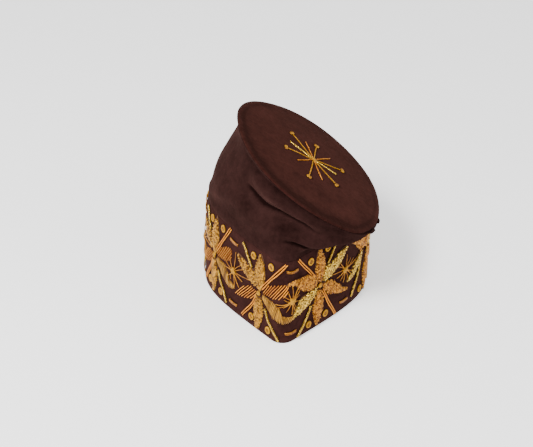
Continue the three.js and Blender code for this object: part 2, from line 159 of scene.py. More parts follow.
def ripple(around, height, turns, tall, seed):
    """Soft unevenness that closes round the cap: a mean of cosines, each with a whole number of
    turns round the girth up to turns, a random height wavelength over tall and a random phase."""
    rng = np.random.default_rng(seed)
    swell = 0
    for k in rng.integers(1, turns, RIPPLE_WAVES):
        rise = rng.uniform(-2 * np.pi, 2 * np.pi) / tall
        phase = rng.uniform(0, 7)
        weight = rng.uniform(0.5, 1)
        swell = swell + weight * np.cos(2 * np.pi * k * around / GIRTH + rise * height + phase)
    return swell / RIPPLE_WAVES


def add_node(tree, kind, links=(), **values):
    """One shader node, its settings by name, and its inputs from values or other nodes."""
    node = tree.nodes.new(kind)
    for key, value in values.items():
        setattr(node, key, value)
    for socket, value in dict(links).items():
        if isinstance(value, bpy.types.NodeSocket):
            tree.links.new(value, node.inputs[socket])
        else:
            node.inputs[socket].default_value = value
    return node


def new_material(name, **constants):
    """A material with its shader, and the values that are the same all over it."""
    material = bpy.data.materials.new(name)
    material.use_nodes = True
    tree = material.node_tree
    shader = tree.nodes["Principled BSDF"]
    for key, value in constants.items():
        shader.inputs[key.replace("_", " ")].default_value = value
    return material, tree, shader


def noise(tree, place, scale, detail, roughness=0.5):
    """Noise from 0 to 1 in the piece's own space."""
    return add_node(tree, "ShaderNodeTexNoise", {"Vector": place, "Scale": scale, "Detail": detail,
                                                  "Roughness": roughness}).outputs["Fac"]


def spread(tree, value, low, high, new_low, new_high):
    """A value taken from one range to another and held at its ends."""
    return add_node(tree, "ShaderNodeMapRange", {"Value": value, "From Min": low, "From Max": high,
                                                  "To Min": new_low, "To Max": new_high}).outputs["Result"]


def summed(tree, one, other, held=False):
    """The sum of two values, held between 0 and 1 where asked."""
    return add_node(tree, "ShaderNodeMath", {0: one, 1: other}, operation="ADD", use_clamp=held).outputs[0]


def blend(tree, share, one, other):
    """A colour between two, by a share."""
    return add_node(tree, "ShaderNodeMix", {"Factor": share, "A": one, "B": other},
                    data_type="RGBA").outputs["Result"]


VELVET_SHEEN = (0.9, 0.4, 0.32)
# Black for the painted shade at the bottom of folds
FOLD_SHADE_BLACK = (0, 0, 0, 1)


def velvet(name, dark, light):
    """Cut pile that lies in patches: three sizes of noise and the mesh's own shade choose between the dark
    and the light side of the pile. The mesh's shade holds random tone together with painted shade and
    highlight, and a shade below 0.1 goes on to black as painted shade in the bottom of a fold. The pile is
    lit a little at its edges by sheen."""
    material, tree, shader = new_material(
        name, Roughness=0.95, Specular_IOR_Level=0.01, Sheen_Weight=0.05, Sheen_Roughness=0.5,
        Sheen_Tint=(*VELVET_SHEEN, 1.0))
    # The mesh's shade: random tone of the pile with painted shade and highlight added to it
    nap_and_shade = add_node(tree, "ShaderNodeAttribute", attribute_name="shade").outputs["Fac"]
    place = add_node(tree, "ShaderNodeTexCoord").outputs["Object"]
    patches = noise(tree, place, scale=38.0, detail=4.0, roughness=0.62)
    brushed = noise(tree, place, scale=210.0, detail=3.0, roughness=0.6)
    tufts = noise(tree, place, scale=1300.0, detail=2.0, roughness=0.6)
    wide = spread(tree, patches, 0.32, 0.68, 0.0, 0.5)
    fine = spread(tree, brushed, 0.3, 0.7, 0.0, 0.32)
    grain = spread(tree, tufts, 0.3, 0.7, 0.0, 0.18)
    noisy = summed(tree, summed(tree, wide, fine), grain)
    lie_and_shade = add_node(tree, "ShaderNodeMath", {0: nap_and_shade, 1: 2.0, 2: noisy}, operation="MULTIPLY_ADD").outputs[0]
    # The pile colour, with the painted shade and highlight of the mesh's shade in it
    pile = blend(tree, summed(tree, lie_and_shade, -1.0, held=True), (*dark, 1), (*light, 1))
    # Painted shade: a shade below 0.1 blends the pile towards black, as in the bottom of a fold
    painted_fold_shade = spread(tree, nap_and_shade, -0.25, 0.1, 0.12, 1.0)
    pressed = add_node(tree, "ShaderNodeBump", {"Height": brushed, "Strength": 0.35, "Distance": 0.0012})
    raised = add_node(tree, "ShaderNodeBump", {"Height": tufts, "Strength": 0.5, "Distance": 0.0004,
                                                "Normal": pressed.outputs["Normal"]})
    tree.links.new(blend(tree, painted_fold_shade, FOLD_SHADE_BLACK, pile), shader.inputs["Base Color"])
    tree.links.new(raised.outputs["Normal"], shader.inputs["Normal"])
    return material


BAND_AROUND = 720
FACE_ROWS, LINING_ROWS, CORNER_ROWS = 30, 14, 5
EDGE_ROUND = 1.2


def band_profile():
    """The wall's section as one loop of (out, height): up the outer face, over the rounded top
    edge, down the inner face and round the lower rim. Each corner is a quarter circle, and the
    points that two stretches share are kept once."""
    quarter = np.linspace(0, np.pi / 2, CORNER_ROWS)
    low, high = EDGE_ROUND, BAND_HEIGHT - EDGE_ROUND
    near, far = -EDGE_ROUND, EDGE_ROUND - BAND_WALL
    bows, rises = EDGE_ROUND * np.cos(quarter), EDGE_ROUND * np.sin(quarter)
    outs = [np.zeros(FACE_ROWS), near + bows, far - rises,
            np.full(LINING_ROWS, -BAND_WALL), far - bows, near + rises]
    heights = [np.linspace(low, high, FACE_ROWS), high + rises, high + bows,
               np.linspace(high, low, LINING_ROWS), low - rises, low - bows]
    loop = np.stack([np.concatenate(outs), np.concatenate(heights)], -1)
    step = np.linalg.norm(loop - np.roll(loop, 1, axis=0), axis=1)
    return loop[step > 1e-6]


RIM_ROLL, RIM_ROLL_AT, RIM_ROLL_HALF = 0.5, 2.2, 2.0  # the turned-in cloth over the lower rim
SHADED_AT, SHADED_HALF, SHADED_DEEP = 86.0, 40.0, 8.0  # where the crown's lip shades the band

band_loop = band_profile()
band_place = np.arange(BAND_AROUND) / BAND_AROUND * GIRTH
around, out = np.broadcast_arrays(band_place[None, :], band_loop[:, :1])
height = np.broadcast_to(band_loop[:, 1:], around.shape)
face_share = np.clip(1 + out / BAND_WALL, 0, 1)
up_share = height / BAND_HEIGHT
soft = 0.5 * ripple(around, height, turns=26, tall=60, seed=3) * np.sin(np.pi * np.clip(up_share, 0, 1))
rim_roll = RIM_ROLL * np.exp(-((height - RIM_ROLL_AT) / RIM_ROLL_HALF) ** 2)
band_chart = np.stack([around, height, out + face_share * (soft + rim_roll)], -1)
# Painted shadow of the crown's lip: the band's shade is pulled down near its top edge round the right front
shaded_round = np.exp(-((around - SHADED_AT) / SHADED_HALF) ** 4)
lip_shadow = shaded_round * np.exp(-((height - BAND_HEIGHT) / SHADED_DEEP) ** 2)
# The band's shade: random tone from a ripple, darker towards the top, and the painted shadow under the lip
band_nap_and_shade = (0.5 + 0.06 * ripple(around, height, turns=14, tall=70, seed=5) - 0.06 * up_share**2
            - 0.8 * lip_shadow)
band_cloth = lay_mesh("band_cloth", on_band(band_chart).reshape(-1, 3),
                      hoop_faces(len(band_loop), BAND_AROUND, closed=True), shade=band_nap_and_shade.ravel())
band_cloth.data.materials.append(velvet("band_velvet", (0.0100, 0.0033, 0.0028), (0.0400, 0.0145, 0.0125)))
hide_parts("band")

# The crown: unstiffened velvet cut wider than the band, sewn into the band's top edge and
# gathered under the top panel. It slouches to the right and forward, so it hangs over the
# band there in a lip and lies in creases under the panel's edge.

TILT = np.radians(34.1)
TOP_RADIUS = 86.4
TOP_WALL = 2.0
TOP_DOME = 2.5
SEAM_GAP = 0.3
CROWN_WALL = 2.0
FOLD_DEPTH = 10.0
SOFT_REACH = 36.0
SOFT_FROM = 0.4
CROWN_AROUND = 400
CROWN_SPAN_STEPS = 14

top_centre = np.array([20.2, -18.0, BAND_HEIGHT + 49.7])
top_across = np.array([np.cos(TILT), 0.0, -np.sin(TILT)])
top_back = np.array([0.0, 1.0, 0.0])
top_up = np.cross(top_across, top_back)

# The panel isn't quite round: share of a turn from the front, and radius as a share of the whole
panel_edge = np.array([[0, 0.951], [0.06, 0.985], [0.11, 1.035], [0.16, 1.02], [0.25, 0.995], [0.34, 1.018],
                       [0.45, 0.987], [0.58, 0.97], [0.69, 1.015], [0.78, 0.958], [0.9, 0.943]])

# One row for a place round the cap, by share of the girth from the front fold. Each station is
# a share of the way from the seam to the panel, then how far it stands out and up, in folds.
crown_at = np.array([0.0, 0.05, 0.09, 0.14, 0.19, 0.25, 0.31, 0.38, 0.5, 0.62, 0.75, 0.85, 0.92])
crown_stations = np.array([
    [[0.12, 0.05, 0], [0.3, 0.2, 0], [0.46, 0.5, 0], [0.7, -0.3, 0], [0.86, 0.45, 0], [0.97, -0.05, 0]],
    [[0.1, -0.15, 0.15], [0.25, 0.35, -0.05], [0.45, 0.8, 0], [0.68, 0.5, 0], [0.85, 0.45, 0],
     [0.96, 0.05, -0.05]],
    [[0.12, 0, 0.2], [0.5, 0.65, -0.15], [0.66, 0.85, -0.05], [0.8, 0.65, 0], [0.9, 0.4, 0],
     [0.97, 0.12, -0.05]],
    [[0.2, 0.05, 0.15], [0.8, 0.2, -0.25], [0.92, 0.3, -0.2], [0.98, 0.25, -0.15], [1, 0.2, -0.12],
     [1, 0.08, -0.1]],
    [[0.3, 0.2, 0.05], [0.7, 0.1, -0.25], [0.86, 0.15, -0.25], [0.96, 0.15, -0.22], [1, 0.12, -0.18],
     [1, 0.06, -0.08]],
    [[0.3, 0.25, 0.04], [0.6, 0.05, -0.25], [0.8, 0.1, -0.3], [0.93, 0.1, -0.25], [1, 0.1, -0.16],
     [1, 0.05, -0.08]],
    [[0.3, 0.2, 0.05], [0.65, 0.1, -0.3], [0.84, 0.15, -0.32], [0.95, 0.15, -0.25], [1, 0.12, -0.16],
     [1, 0.06, -0.08]],
    [[0.15, 0.1, 0.05], [0.35, 0.35, 0], [0.55, 0.6, -0.05], [0.75, 0.45, -0.05], [0.88, 0.3, -0.05],
     [0.97, 0.05, -0.05]],
    [[0.08, 0.05, 0], [0.2, 0.2, 0], [0.42, 0.5, 0], [0.66, 0.1, 0], [0.85, 0.35, 0], [0.97, 0, 0]],
    [[0.06, 0.0, 0], [0.18, 0.1, 0], [0.4, 0.35, 0], [0.64, 0.1, 0], [0.84, -0.2, 0], [0.96, -0.2, 0]],
    [[0.05, -0.1, 0], [0.16, 0.0, 0], [0.36, 0.3, 0], [0.6, -0.1, 0], [0.8, -0.45, 0], [0.95, -0.3, 0]],
    [[0.05, -0.05, 0], [0.16, 0.05, 0], [0.36, 0.35, 0], [0.62, 0.05, 0], [0.82, -0.25, 0], [0.96, -0.2, 0]],
    [[0.05, 0.0, 0], [0.16, 0.1, 0], [0.36, 0.4, 0], [0.64, -0.2, 0], [0.84, 0.3, 0], [0.97, -0.05, 0]],
])


# Creases and ridges in the slack cloth: how far each stands out in millimetres and what it adds to the
# velvet's shade, which is painted shade in the creases, below the left fold, under the seam and below the
# lip and painted highlight on crests and ridges, its half width and its rise over its line, both as shares
# of the way up, and the line itself: places as share of the girth, share of the way up and strength.
CREASE = [(0.865, 0.615, 0), (0.885, 0.603, 1), (0.902, 0.587, 1), (0.92, 0.573, 1), (0.94, 0.585, 1),
          (0.955, 0.6, 1), (0.985, 0.605, 1), (1.005, 0.603, 0.8), (1.03, 0.587, 0.35), (1.05, 0.58, 0)]
UNDER_SEAM = [(0.78, 0.88, 0), (0.83, 0.8, 0.8), (0.9, 0.82, 1), (0.965, 0.9, 1), (1.03, 0.93, 0.6),
              (1.06, 0.93, 0)]
LEFT_FOLD = [(0.74, 0.22, 0.5), (0.767, 0.26, 1), (0.815, 0.38, 1), (0.85, 0.46, 0.9), (0.868, 0.49, 0.5),
             (0.89, 0.5, 0)]
LIP = [(0.975, 0.36, 0), (1.0, 0.37, 0.6), (1.04, 0.4, 1), (1.1, 0.42, 1), (1.13, 0.42, 0.5),
       (1.15, 0.42, 0)]
BELOW_LIP = [(0.98, 0.335, 0), (1.0, 0.33, 0.7), (1.02, 0.33, 1), (1.045, 0.31, 1), (1.07, 0.26, 1),
             (1.12, 0.2, 0.6), (1.15, 0.15, 0)]
crown_folds = [
    (-3.0, -0.55, 0.015, 0.0, CREASE),
    (1.3, 0.08, 0.028, -0.04, CREASE),
    (1.4, 0.02, 0.06, 0.12, CREASE),
    (-2.2, -0.2, 0.07, 0.0, UNDER_SEAM),
    (1.5, 0.02, 0.06, 0.0, LEFT_FOLD),
    (-0.6, -0.1, 0.1, -0.16, LEFT_FOLD),
    (4.2, 0.03, 0.07, -0.01, LIP),
    (-4.2, -0.9, 0.034, 0.0, BELOW_LIP),
]
OUTWARDS, PAINTED_SHADE = 0, 1  # what a fold adds to the cloth's place and to its shade


def fold_shape(place, up, column):
    """The sum of the folds: each is a bell across its line, which is looked up by the share of
    the girth, times its strength there and the value in that column."""
    folded = 0.0
    for values in crown_folds:
        half, rise, line = values[2], values[3], np.array(values[4])
        turn = place + (place < line[0, 0] - 0.5)
        middle = np.interp(turn, line[:, 0], line[:, 1]) + rise
        strength = np.interp(turn, line[:, 0], line[:, 2], left=0, right=0)
        folded = folded + values[column] * strength * np.exp(-((up - middle) / half) ** 2)
    return folded


def round_rows(row_places, row_values, at):
    """Rows of values joined round the cap by a closed Hermite curve: each value's slope at a row
    is that between its two neighbours."""
    count = len(row_places)
    places = np.concatenate([row_places[-2:] - 1, row_places, row_places[:3] + 1])
    values = np.concatenate([row_values[-2:], row_values, row_values[:3]])
    deep = (slice(None),) + (None,) * (values.ndim - 1)
    slopes = np.zeros_like(values)
    slopes[1:-1] = (values[2:] - values[:-2]) / (places[2:] - places[:-2])[deep]
    row = np.clip(np.searchsorted(row_places, at, side="right") + 1, 2, count + 1)
    span = places[row + 1] - places[row]
    s = ((at - places[row]) / span)[deep]
    span = span[deep]
    return ((2 * s**3 - 3 * s**2 + 1) * values[row] + (s**3 - 2 * s**2 + s) * slopes[row] * span
            + (3 * s**2 - 2 * s**3) * values[row + 1] + (s**3 - s**2) * slopes[row + 1] * span)


def unit(vectors):
    """Vectors at length one."""
    return vectors / np.linalg.norm(vectors, axis=-1, keepdims=True)


def through(points, steps):
    """A smooth curve through the points on the second axis, with knots spaced by the square root
    of their distance apart, sampled steps times between each two."""
    first = 2 * points[:, :1] - points[:, 1:2]
    last = 2 * points[:, -1:] - points[:, -2:-1]
    p = np.concatenate([first, points, last], 1)
    gap = np.maximum(np.linalg.norm(np.diff(p, axis=1), axis=-1, keepdims=True), 1e-4) ** 0.5
    rows = []
    for i in range(1, points.shape[1]):
        x0, x1, x2, x3 = p[:, i - 1], p[:, i], p[:, i + 1], p[:, i + 2]
        d0, d1, d2 = gap[:, i - 1], gap[:, i], gap[:, i + 1]
        t1 = ((x1 - x0) / d0 - (x2 - x0) / (d0 + d1) + (x2 - x1) / d1) * d1
        t2 = ((x2 - x1) / d1 - (x3 - x1) / (d1 + d2) + (x3 - x2) / d2) * d1
        for k in range(steps):
            s = k / steps
            rows.append((2 * s**3 - 3 * s**2 + 1) * x1 + (s**3 - 2 * s**2 + s) * t1
                        + (3 * s**2 - 2 * s**3) * x2 + (s**3 - s**2) * t2)
    rows.append(points[:, -1])
    return np.stack(rows, 0)


def on_top(chart):
    """Chart points (across, back, distance out) laid on the panel: the panel's plane, raised by
    a dome that falls as the square of the distance from the middle."""
    dome = TOP_DOME * (1 - (chart[..., 0] ** 2 + chart[..., 1] ** 2) / TOP_RADIUS**2)
    return (top_centre + chart[..., :1] * top_across + chart[..., 1:2] * top_back
            + (dome + chart[..., 2])[..., None] * top_up)


def rim_direction(at):
    """The way from the panel's middle to its edge at a share of a turn from the front."""
    turn = (at - 0.25) * 2 * np.pi
    return np.cos(turn)[..., None] * top_across + np.sin(turn)[..., None] * top_back


def panel_radius(at):
    """The panel's radius in millimetres at a share of a turn from the front."""
    return TOP_RADIUS * round_rows(panel_edge[:, 0], panel_edge[:, 1], at)


def soft_spot(walked, share):
    """The plan averaged over a stretch that grows with the share of the way up, so that the
    pressed folds of the band open out in the soft cloth, and its outward normal."""
    reach = SOFT_REACH * np.clip(share / SOFT_FROM, 0, 1)
    tries = np.linspace(-1, 1, 7)[:, None] * reach + walked
    plan = outline(tries).mean(0)
    normal = outline_normal(tries).sum(0)
    point = np.concatenate([plan, np.full((len(plan), 1), BAND_HEIGHT + SEAM_GAP)], -1)
    return point, unit(np.concatenate([normal, np.zeros((len(plan), 1))], -1))


def crown_face(at):
    """The crown's outer face: upright curves from the seam through the stations to the rim."""
    turn, reach = (at - 0.25) * 2 * np.pi, panel_radius(at)
    rim = on_top(np.stack([reach * np.cos(turn), reach * np.sin(turn), 0 * at - TOP_WALL - SEAM_GAP], -1))
    rim_out = unit(rim_direction(at) * [1, 1, 0])
    level = np.full_like(at, BAND_HEIGHT)
    seam = on_band(np.stack([at * GIRTH, level, 0 * at], -1)) + [0, 0, SEAM_GAP]
    stations = round_rows(crown_at, crown_stations, at)
    points = [seam]
    for k in range(stations.shape[1]):
        share, out, up = stations[:, k, 0], stations[:, k, 1], stations[:, k, 2]
        foot, normal = soft_spot(at * GIRTH, share)
        mix = np.clip(share, 0, 1)[:, None]
        outward = unit(normal * (1 - mix) + rim_out * mix)
        point = foot * (1 - share[:, None]) + rim * share[:, None] + outward * (out * FOLD_DEPTH)[:, None]
        point[:, 2] += up * FOLD_DEPTH
        points.append(point)
    points.append(rim)
    return through(np.stack(points, 1), CROWN_SPAN_STEPS)


def grid_normals(grid):
    """Normals of rows of points that run round the cap: the way round crossed with the way up."""
    return unit(np.cross(np.roll(grid, -1, axis=1) - np.roll(grid, 1, axis=1), np.gradient(grid, axis=0)))


crown_place = np.arange(CROWN_AROUND) / CROWN_AROUND
crown_outer = crown_face(crown_place)
crown_rows = len(crown_outer)
crown_up = np.linspace(0, 1, crown_rows)[:, None]
crown_normals = grid_normals(crown_outer)
slack = np.sin(np.pi * crown_up) ** 0.7
crown_outer = crown_outer + crown_normals * (
    slack * (1.5 * ripple(crown_place * GIRTH, crown_up * 100, turns=9, tall=55, seed=11)
             + 0.5 * ripple(crown_place * GIRTH, crown_up * 100, turns=34, tall=22, seed=12))
    + fold_shape(crown_place, crown_up, OUTWARDS))[..., None]
crown_normals = grid_normals(crown_outer)
crown_inner = crown_outer - crown_normals * CROWN_WALL
crown_inner[0] = crown_outer[0] - np.pad(outline_normal(crown_place * GIRTH), ((0, 0), (0, 1))) * CROWN_WALL
crown_inner[-1] = crown_outer[-1] - rim_direction(crown_place) * CROWN_WALL
past_rim = np.maximum((crown_inner - crown_outer[-1:]) @ top_up, 0)
crown_inner = crown_inner - past_rim[..., None] * top_up
crown_points = np.concatenate([crown_outer, crown_inner[::-1]])
# The crown's shade: painted shade and highlight from the folds, and random tone from a ripple
crown_nap_and_shade = (0.5 + fold_shape(crown_place, crown_up, PAINTED_SHADE)
             + 0.09 * ripple(crown_place * GIRTH, crown_up * 100, turns=12, tall=60, seed=13))
crown_nap_and_shade = np.concatenate([crown_nap_and_shade, crown_nap_and_shade[::-1]])
crown_cloth = lay_mesh("crown_cloth", crown_points.reshape(-1, 3),
                       hoop_faces(len(crown_points), CROWN_AROUND, closed=True), shade=crown_nap_and_shade.ravel())
crown_cloth.data.materials.append(velvet("crown_velvet", (0.0063, 0.0023, 0.0020), (0.0265, 0.0105, 0.0092)))
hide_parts("crown")

# The top panel: a round of the same velvet, laid over the crown's edge with its own edge
# turned under and sewn down, so that it ends in a soft rounded roll.

TOP_AROUND = 360
UNDER_ROWS, EDGE_ROWS, OVER_ROWS = 16, 9, 46
PANEL_MIDDLE = 0.004  # the last ring's share of the radius, closed by a fan
PANEL_SAG = 0.6


def even_fan(count):
    """Four-cornered faces that close a ring of an even number of points."""
    step = np.arange(1, count // 2)
    return np.stack([0 * step, 2 * step - 1, 2 * step, 2 * step + 1], -1)


def panel_profile():
    """The panel's section as (share of the radius, out): from the middle of its underside to the
    edge, round a half circle of its thickness, and back over its face to the middle."""
    roll = TOP_WALL / 2 / TOP_RADIUS
    under = np.linspace(PANEL_MIDDLE, 1 - roll, UNDER_ROWS)
    half = np.linspace(-np.pi / 2, np.pi / 2, EDGE_ROWS)[1:-1]
    over = (1 - roll) - np.linspace(0, 1, OVER_ROWS) ** 1.25 * (1 - PANEL_MIDDLE - roll)
    return np.concatenate([
        np.stack([under, np.full(UNDER_ROWS, -TOP_WALL)], -1),
        np.stack([1 + (np.cos(half) - 1) * roll, (np.sin(half) - 1) * TOP_WALL / 2], -1),
        np.stack([over, np.zeros(OVER_ROWS)], -1)])


panel_rows = panel_profile()
panel_place = np.arange(TOP_AROUND) / TOP_AROUND
panel_turn = (panel_place - 0.25) * 2 * np.pi
share = panel_rows[:, :1]
across = share * panel_radius(panel_place) * np.cos(panel_turn)
back = share * panel_radius(panel_place) * np.sin(panel_turn)
sag = PANEL_SAG * np.cos(across / 27 + 0.6) * np.cos(back / 33 - 0.4) * np.clip((1 - share) / 0.35, 0, 1)
is_face = (panel_rows[:, 1:] > -TOP_WALL / 2).astype(float)
panel_chart = np.stack([across, back, panel_rows[:, 1:] + is_face * sag], -1)
panel_points = on_top(panel_chart)
panel_faces = hoop_faces(len(panel_rows), TOP_AROUND, closed=False)
panel_ends = np.concatenate([even_fan(TOP_AROUND)[:, ::-1],
                             even_fan(TOP_AROUND) + (len(panel_rows) - 1) * TOP_AROUND])
from_edge = (1 - share) * TOP_RADIUS
front_left = np.clip(np.cos(2 * np.pi * (panel_place - 0.95)) + 0.25, 0, 1)
stitched_down = np.exp(-((from_edge - 6) / 2.0) ** 2)
# Painted shade along the panel's rolled edge at the front left, where it turns down
edge_roll_shade = front_left * np.exp(-((from_edge - 7) / 7.0) ** 2)
# The panel's shade: that painted shade, a darker line along the stitching and random tone from a ripple
panel_nap_and_shade = (0.52 - 0.28 * edge_roll_shade - 0.16 * stitched_down
             + 0.05 * ripple(panel_place * GIRTH, from_edge, turns=9, tall=60, seed=31))
panel_cloth = lay_mesh("panel_cloth", panel_points.reshape(-1, 3), np.concatenate([panel_faces, panel_ends]),
                       shade=panel_nap_and_shade.ravel())
panel_cloth.data.materials.append(velvet("top_velvet", (0.0120, 0.0034, 0.0026), (0.0440, 0.0135, 0.0106)))
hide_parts("top_panel")

# The flowers: eight, worked round the band in metal thread over a low padding. Each has six
# leaves and a knot in the middle. A leaf is filled with stitches laid across it, with cut
# pieces of purl sewn down one by one, or with separate twisted cords that leave gaps.

REPEATS = 8
REPEAT_WIDTH = GIRTH / REPEATS
FIRST_STAR = 9.0
STAR_DRIFT = np.array([0, 1.8, 0, 0, 0, 0, 0, -5.2])  # how far right of its even place
LEFT_ROOM, RIGHT_ROOM = 79.0, 75.5  # between the stars on both sides of the flowers charted here
LIE = 0.35  # the thread's underside over the velvet


class ThreadWork:
    """Tubes of thread gathered for one mesh: points, faces, UV, shade and material numbers."""

    def __init__(self):
        self.points, self.quads, self.uv, self.shade, self.finish, self.count = [], [], [], [], [], 0

    def tubes(self, paths, radius, shade, finish, sides=6, flat=1.0):
        """Threads along many like paths: a ring of points round each place stands across the
        path by radius times the cosine of its turn, and out by the sine times flat. The UV is
        the length along in centimetres and the share of a turn."""
        count, places = paths.shape[:2]
        radius = np.broadcast_to(radius, (count, places))[:, :, None, None]
        way = unit(np.gradient(paths, axis=1)[..., :2] + 1e-9)
        turn = np.arange(sides) * 2 * np.pi / sides
        ring = np.stack([way[..., None, 1] * np.cos(turn), -way[..., None, 0] * np.cos(turn),
                         np.broadcast_to(flat * np.sin(turn), (count, places, sides))], -1)
        points = paths[:, :, None, :] + radius * ring
        number = np.arange(count * places * sides).reshape(count, places, sides)
        after = np.roll(number, -1, axis=2)
        walls = np.stack([number[:, :-1], number[:, 1:], after[:, 1:], after[:, :-1]], -1).reshape(-1, 4)
        fan = even_fan(sides)
        starts = number[:, 0][:, fan].reshape(-1, 4)
        ends = number[:, -1][:, fan[:, ::-1]].reshape(-1, 4)
        length = np.cumsum(np.linalg.norm(np.diff(paths, axis=1, prepend=paths[:, :1]), axis=-1), 1) / 10
        low, high = length[:, :-1, None], length[:, 1:, None]
        side = np.arange(sides) / sides
        corners = ((low, side), (high, side), (high, side + 1 / sides), (low, side + 1 / sides))
        wall_uv = np.stack([np.stack(np.broadcast_arrays(u, v), -1) for u, v in corners], -2)
        cap_uv = np.zeros((len(starts) + len(ends), 4, 2))
        self.add(points.reshape(-1, 3), np.concatenate([walls, starts, ends]),
                 np.concatenate([wall_uv.reshape(-1, 4, 2), cap_uv]),
                 np.repeat(np.broadcast_to(shade, count), places * sides), finish)

    def add(self, points, quads, uv, shade, finish):
        """One more shape, with its faces counted on from those gathered before."""
        self.points.append(points)
        self.quads.append(quads + self.count)
        self.uv.append(uv)
        self.shade.append(shade)
        self.finish.append(np.full(len(quads), finish))
        self.count += len(points)

    def lay(self, name, bend, materials, nodes):
        """The gathered thread as one mesh, bent onto what it is sewn to."""
        piece = lay_mesh(name, bend(np.concatenate(self.points)), np.concatenate(self.quads),
                         np.concatenate(self.uv), np.concatenate(self.shade), np.concatenate(self.finish))
        for material in materials:
            piece.data.materials.append(material)
        if nodes:
            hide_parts(*nodes)
        return piece


WINDINGS = 9.0  # ribs to a centimetre of thread


def metal_thread(name, dark, light, roughness=0.36, metal=0.85):
    """Thin metal wound round a core: the stitch's own shade chooses between two golds, noise
    adds wear, and slanting ribs along the UV are the windings."""
    material, tree, shader = new_material(name, Metallic=metal, Sheen_Weight=0.0)
    shade = add_node(tree, "ShaderNodeAttribute", attribute_name="shade").outputs["Fac"]
    worn = noise(tree, add_node(tree, "ShaderNodeTexCoord").outputs["Object"], scale=420.0, detail=3.0)
    pick = summed(tree, shade, spread(tree, worn, 0.3, 0.7, -0.25, 0.25), held=True)
    rough = spread(tree, worn, 0.3, 0.7, roughness - 0.08, roughness + 0.1)
    run = add_node(tree, "ShaderNodeUVMap", uv_map="thread").outputs["UV"]
    wound = add_node(tree, "ShaderNodeMapping", {"Vector": run, "Scale": (WINDINGS, 1.0, 1.0)})
    slant = add_node(tree, "ShaderNodeTexWave",
                     {"Vector": wound.outputs["Vector"], "Scale": 1.0, "Distortion": 0.0},
                     wave_type="BANDS", bands_direction="DIAGONAL").outputs["Fac"]
    bump = add_node(tree, "ShaderNodeBump", {"Height": slant, "Strength": 0.6, "Distance": 0.0002})
    tree.links.new(blend(tree, pick, (*dark, 1), (*light, 1)), shader.inputs["Base Color"])
    tree.links.new(rough, shader.inputs["Roughness"])
    tree.links.new(bump.outputs["Normal"], shader.inputs["Normal"])
    return material


sandy_gold = metal_thread("sandy_gold", (0.13, 0.045, 0.003), (0.70, 0.34, 0.028))
glitter_gold = metal_thread("glitter_gold", (0.20, 0.090, 0.005), (0.98, 0.64, 0.075), roughness=0.24)
orange_gold = metal_thread("orange_gold", (0.15, 0.040, 0.003), (0.76, 0.32, 0.024))
copper_cord = metal_thread("copper_cord", (0.42, 0.115, 0.010), (0.90, 0.36, 0.040))
yolk_gold = metal_thread("yolk_gold", (0.24, 0.085, 0.001), (0.60, 0.29, 0.001), roughness=0.4, metal=0.6)
# The padding under the leaves is real, and its dark brown also stands as painted shade in the gaps between
# the threads
padding = metal_thread("padding_and_gap_shade", (0.055, 0.018, 0.005), (0.14, 0.055, 0.014), roughness=0.6,
                       metal=0.4)
leaf_materials = [sandy_gold, glitter_gold, orange_gold, copper_cord, yolk_gold, padding]
SANDY, GLITTER, ORANGE, COPPER, YOLK, PADDING_AND_GAP_SHADE = range(6)


def along(edge, share):
    """A place on a line of points at a share of its length."""
    edge = np.asarray(edge, float)
    run = np.concatenate([[0], np.cumsum(np.linalg.norm(np.diff(edge, axis=0), axis=1))])
    return np.stack([np.interp(np.asarray(share) * run[-1], run, edge[:, k]) for k in range(2)], -1)


def inside(points, ring):
    """Which points lie in a closed ring: an odd number of its sides is crossed going right."""
    x, y = points[:, None, 0], points[:, None, 1]
    x1, y1 = ring[None, :, 0], ring[None, :, 1]
    x2, y2 = np.roll(x1, -1, axis=1), np.roll(y1, -1, axis=1)
    crossed = (y1 > y) != (y2 > y)
    where = x1 + (y - y1) / np.where(y2 == y1, 1e-9, y2 - y1) * (x2 - x1)
    return (crossed & (x < where)).sum(1) % 2 == 1


def edge_distance(points, ring):
    """Distance from each point to the nearest side of the ring."""
    start, side = ring[None], (np.roll(ring, -1, axis=0) - ring)[None]
    rel = points[:, None] - start
    t = np.clip((rel * side).sum(-1) / np.maximum((side**2).sum(-1), 1e-9), 0, 1)
    return np.linalg.norm(rel - t[..., None] * side, axis=-1).min(1)


EDGE_PLACES = 24


def leaf_ring(leaf):
    """A leaf's whole edge: up one side and back down the other."""
    share = np.linspace(0, 1, EDGE_PLACES)
    return np.concatenate([along(leaf[0], share), along(leaf[1], share)[::-1]])


PAD_ROWS, PAD_COLUMNS = 22, 7
PAD_INSET = 0.04  # share of the leaf left bare at each side
PAD_SUNK = 0.15
MIDDLE_FACE = 60  # shows which way the padding's faces point


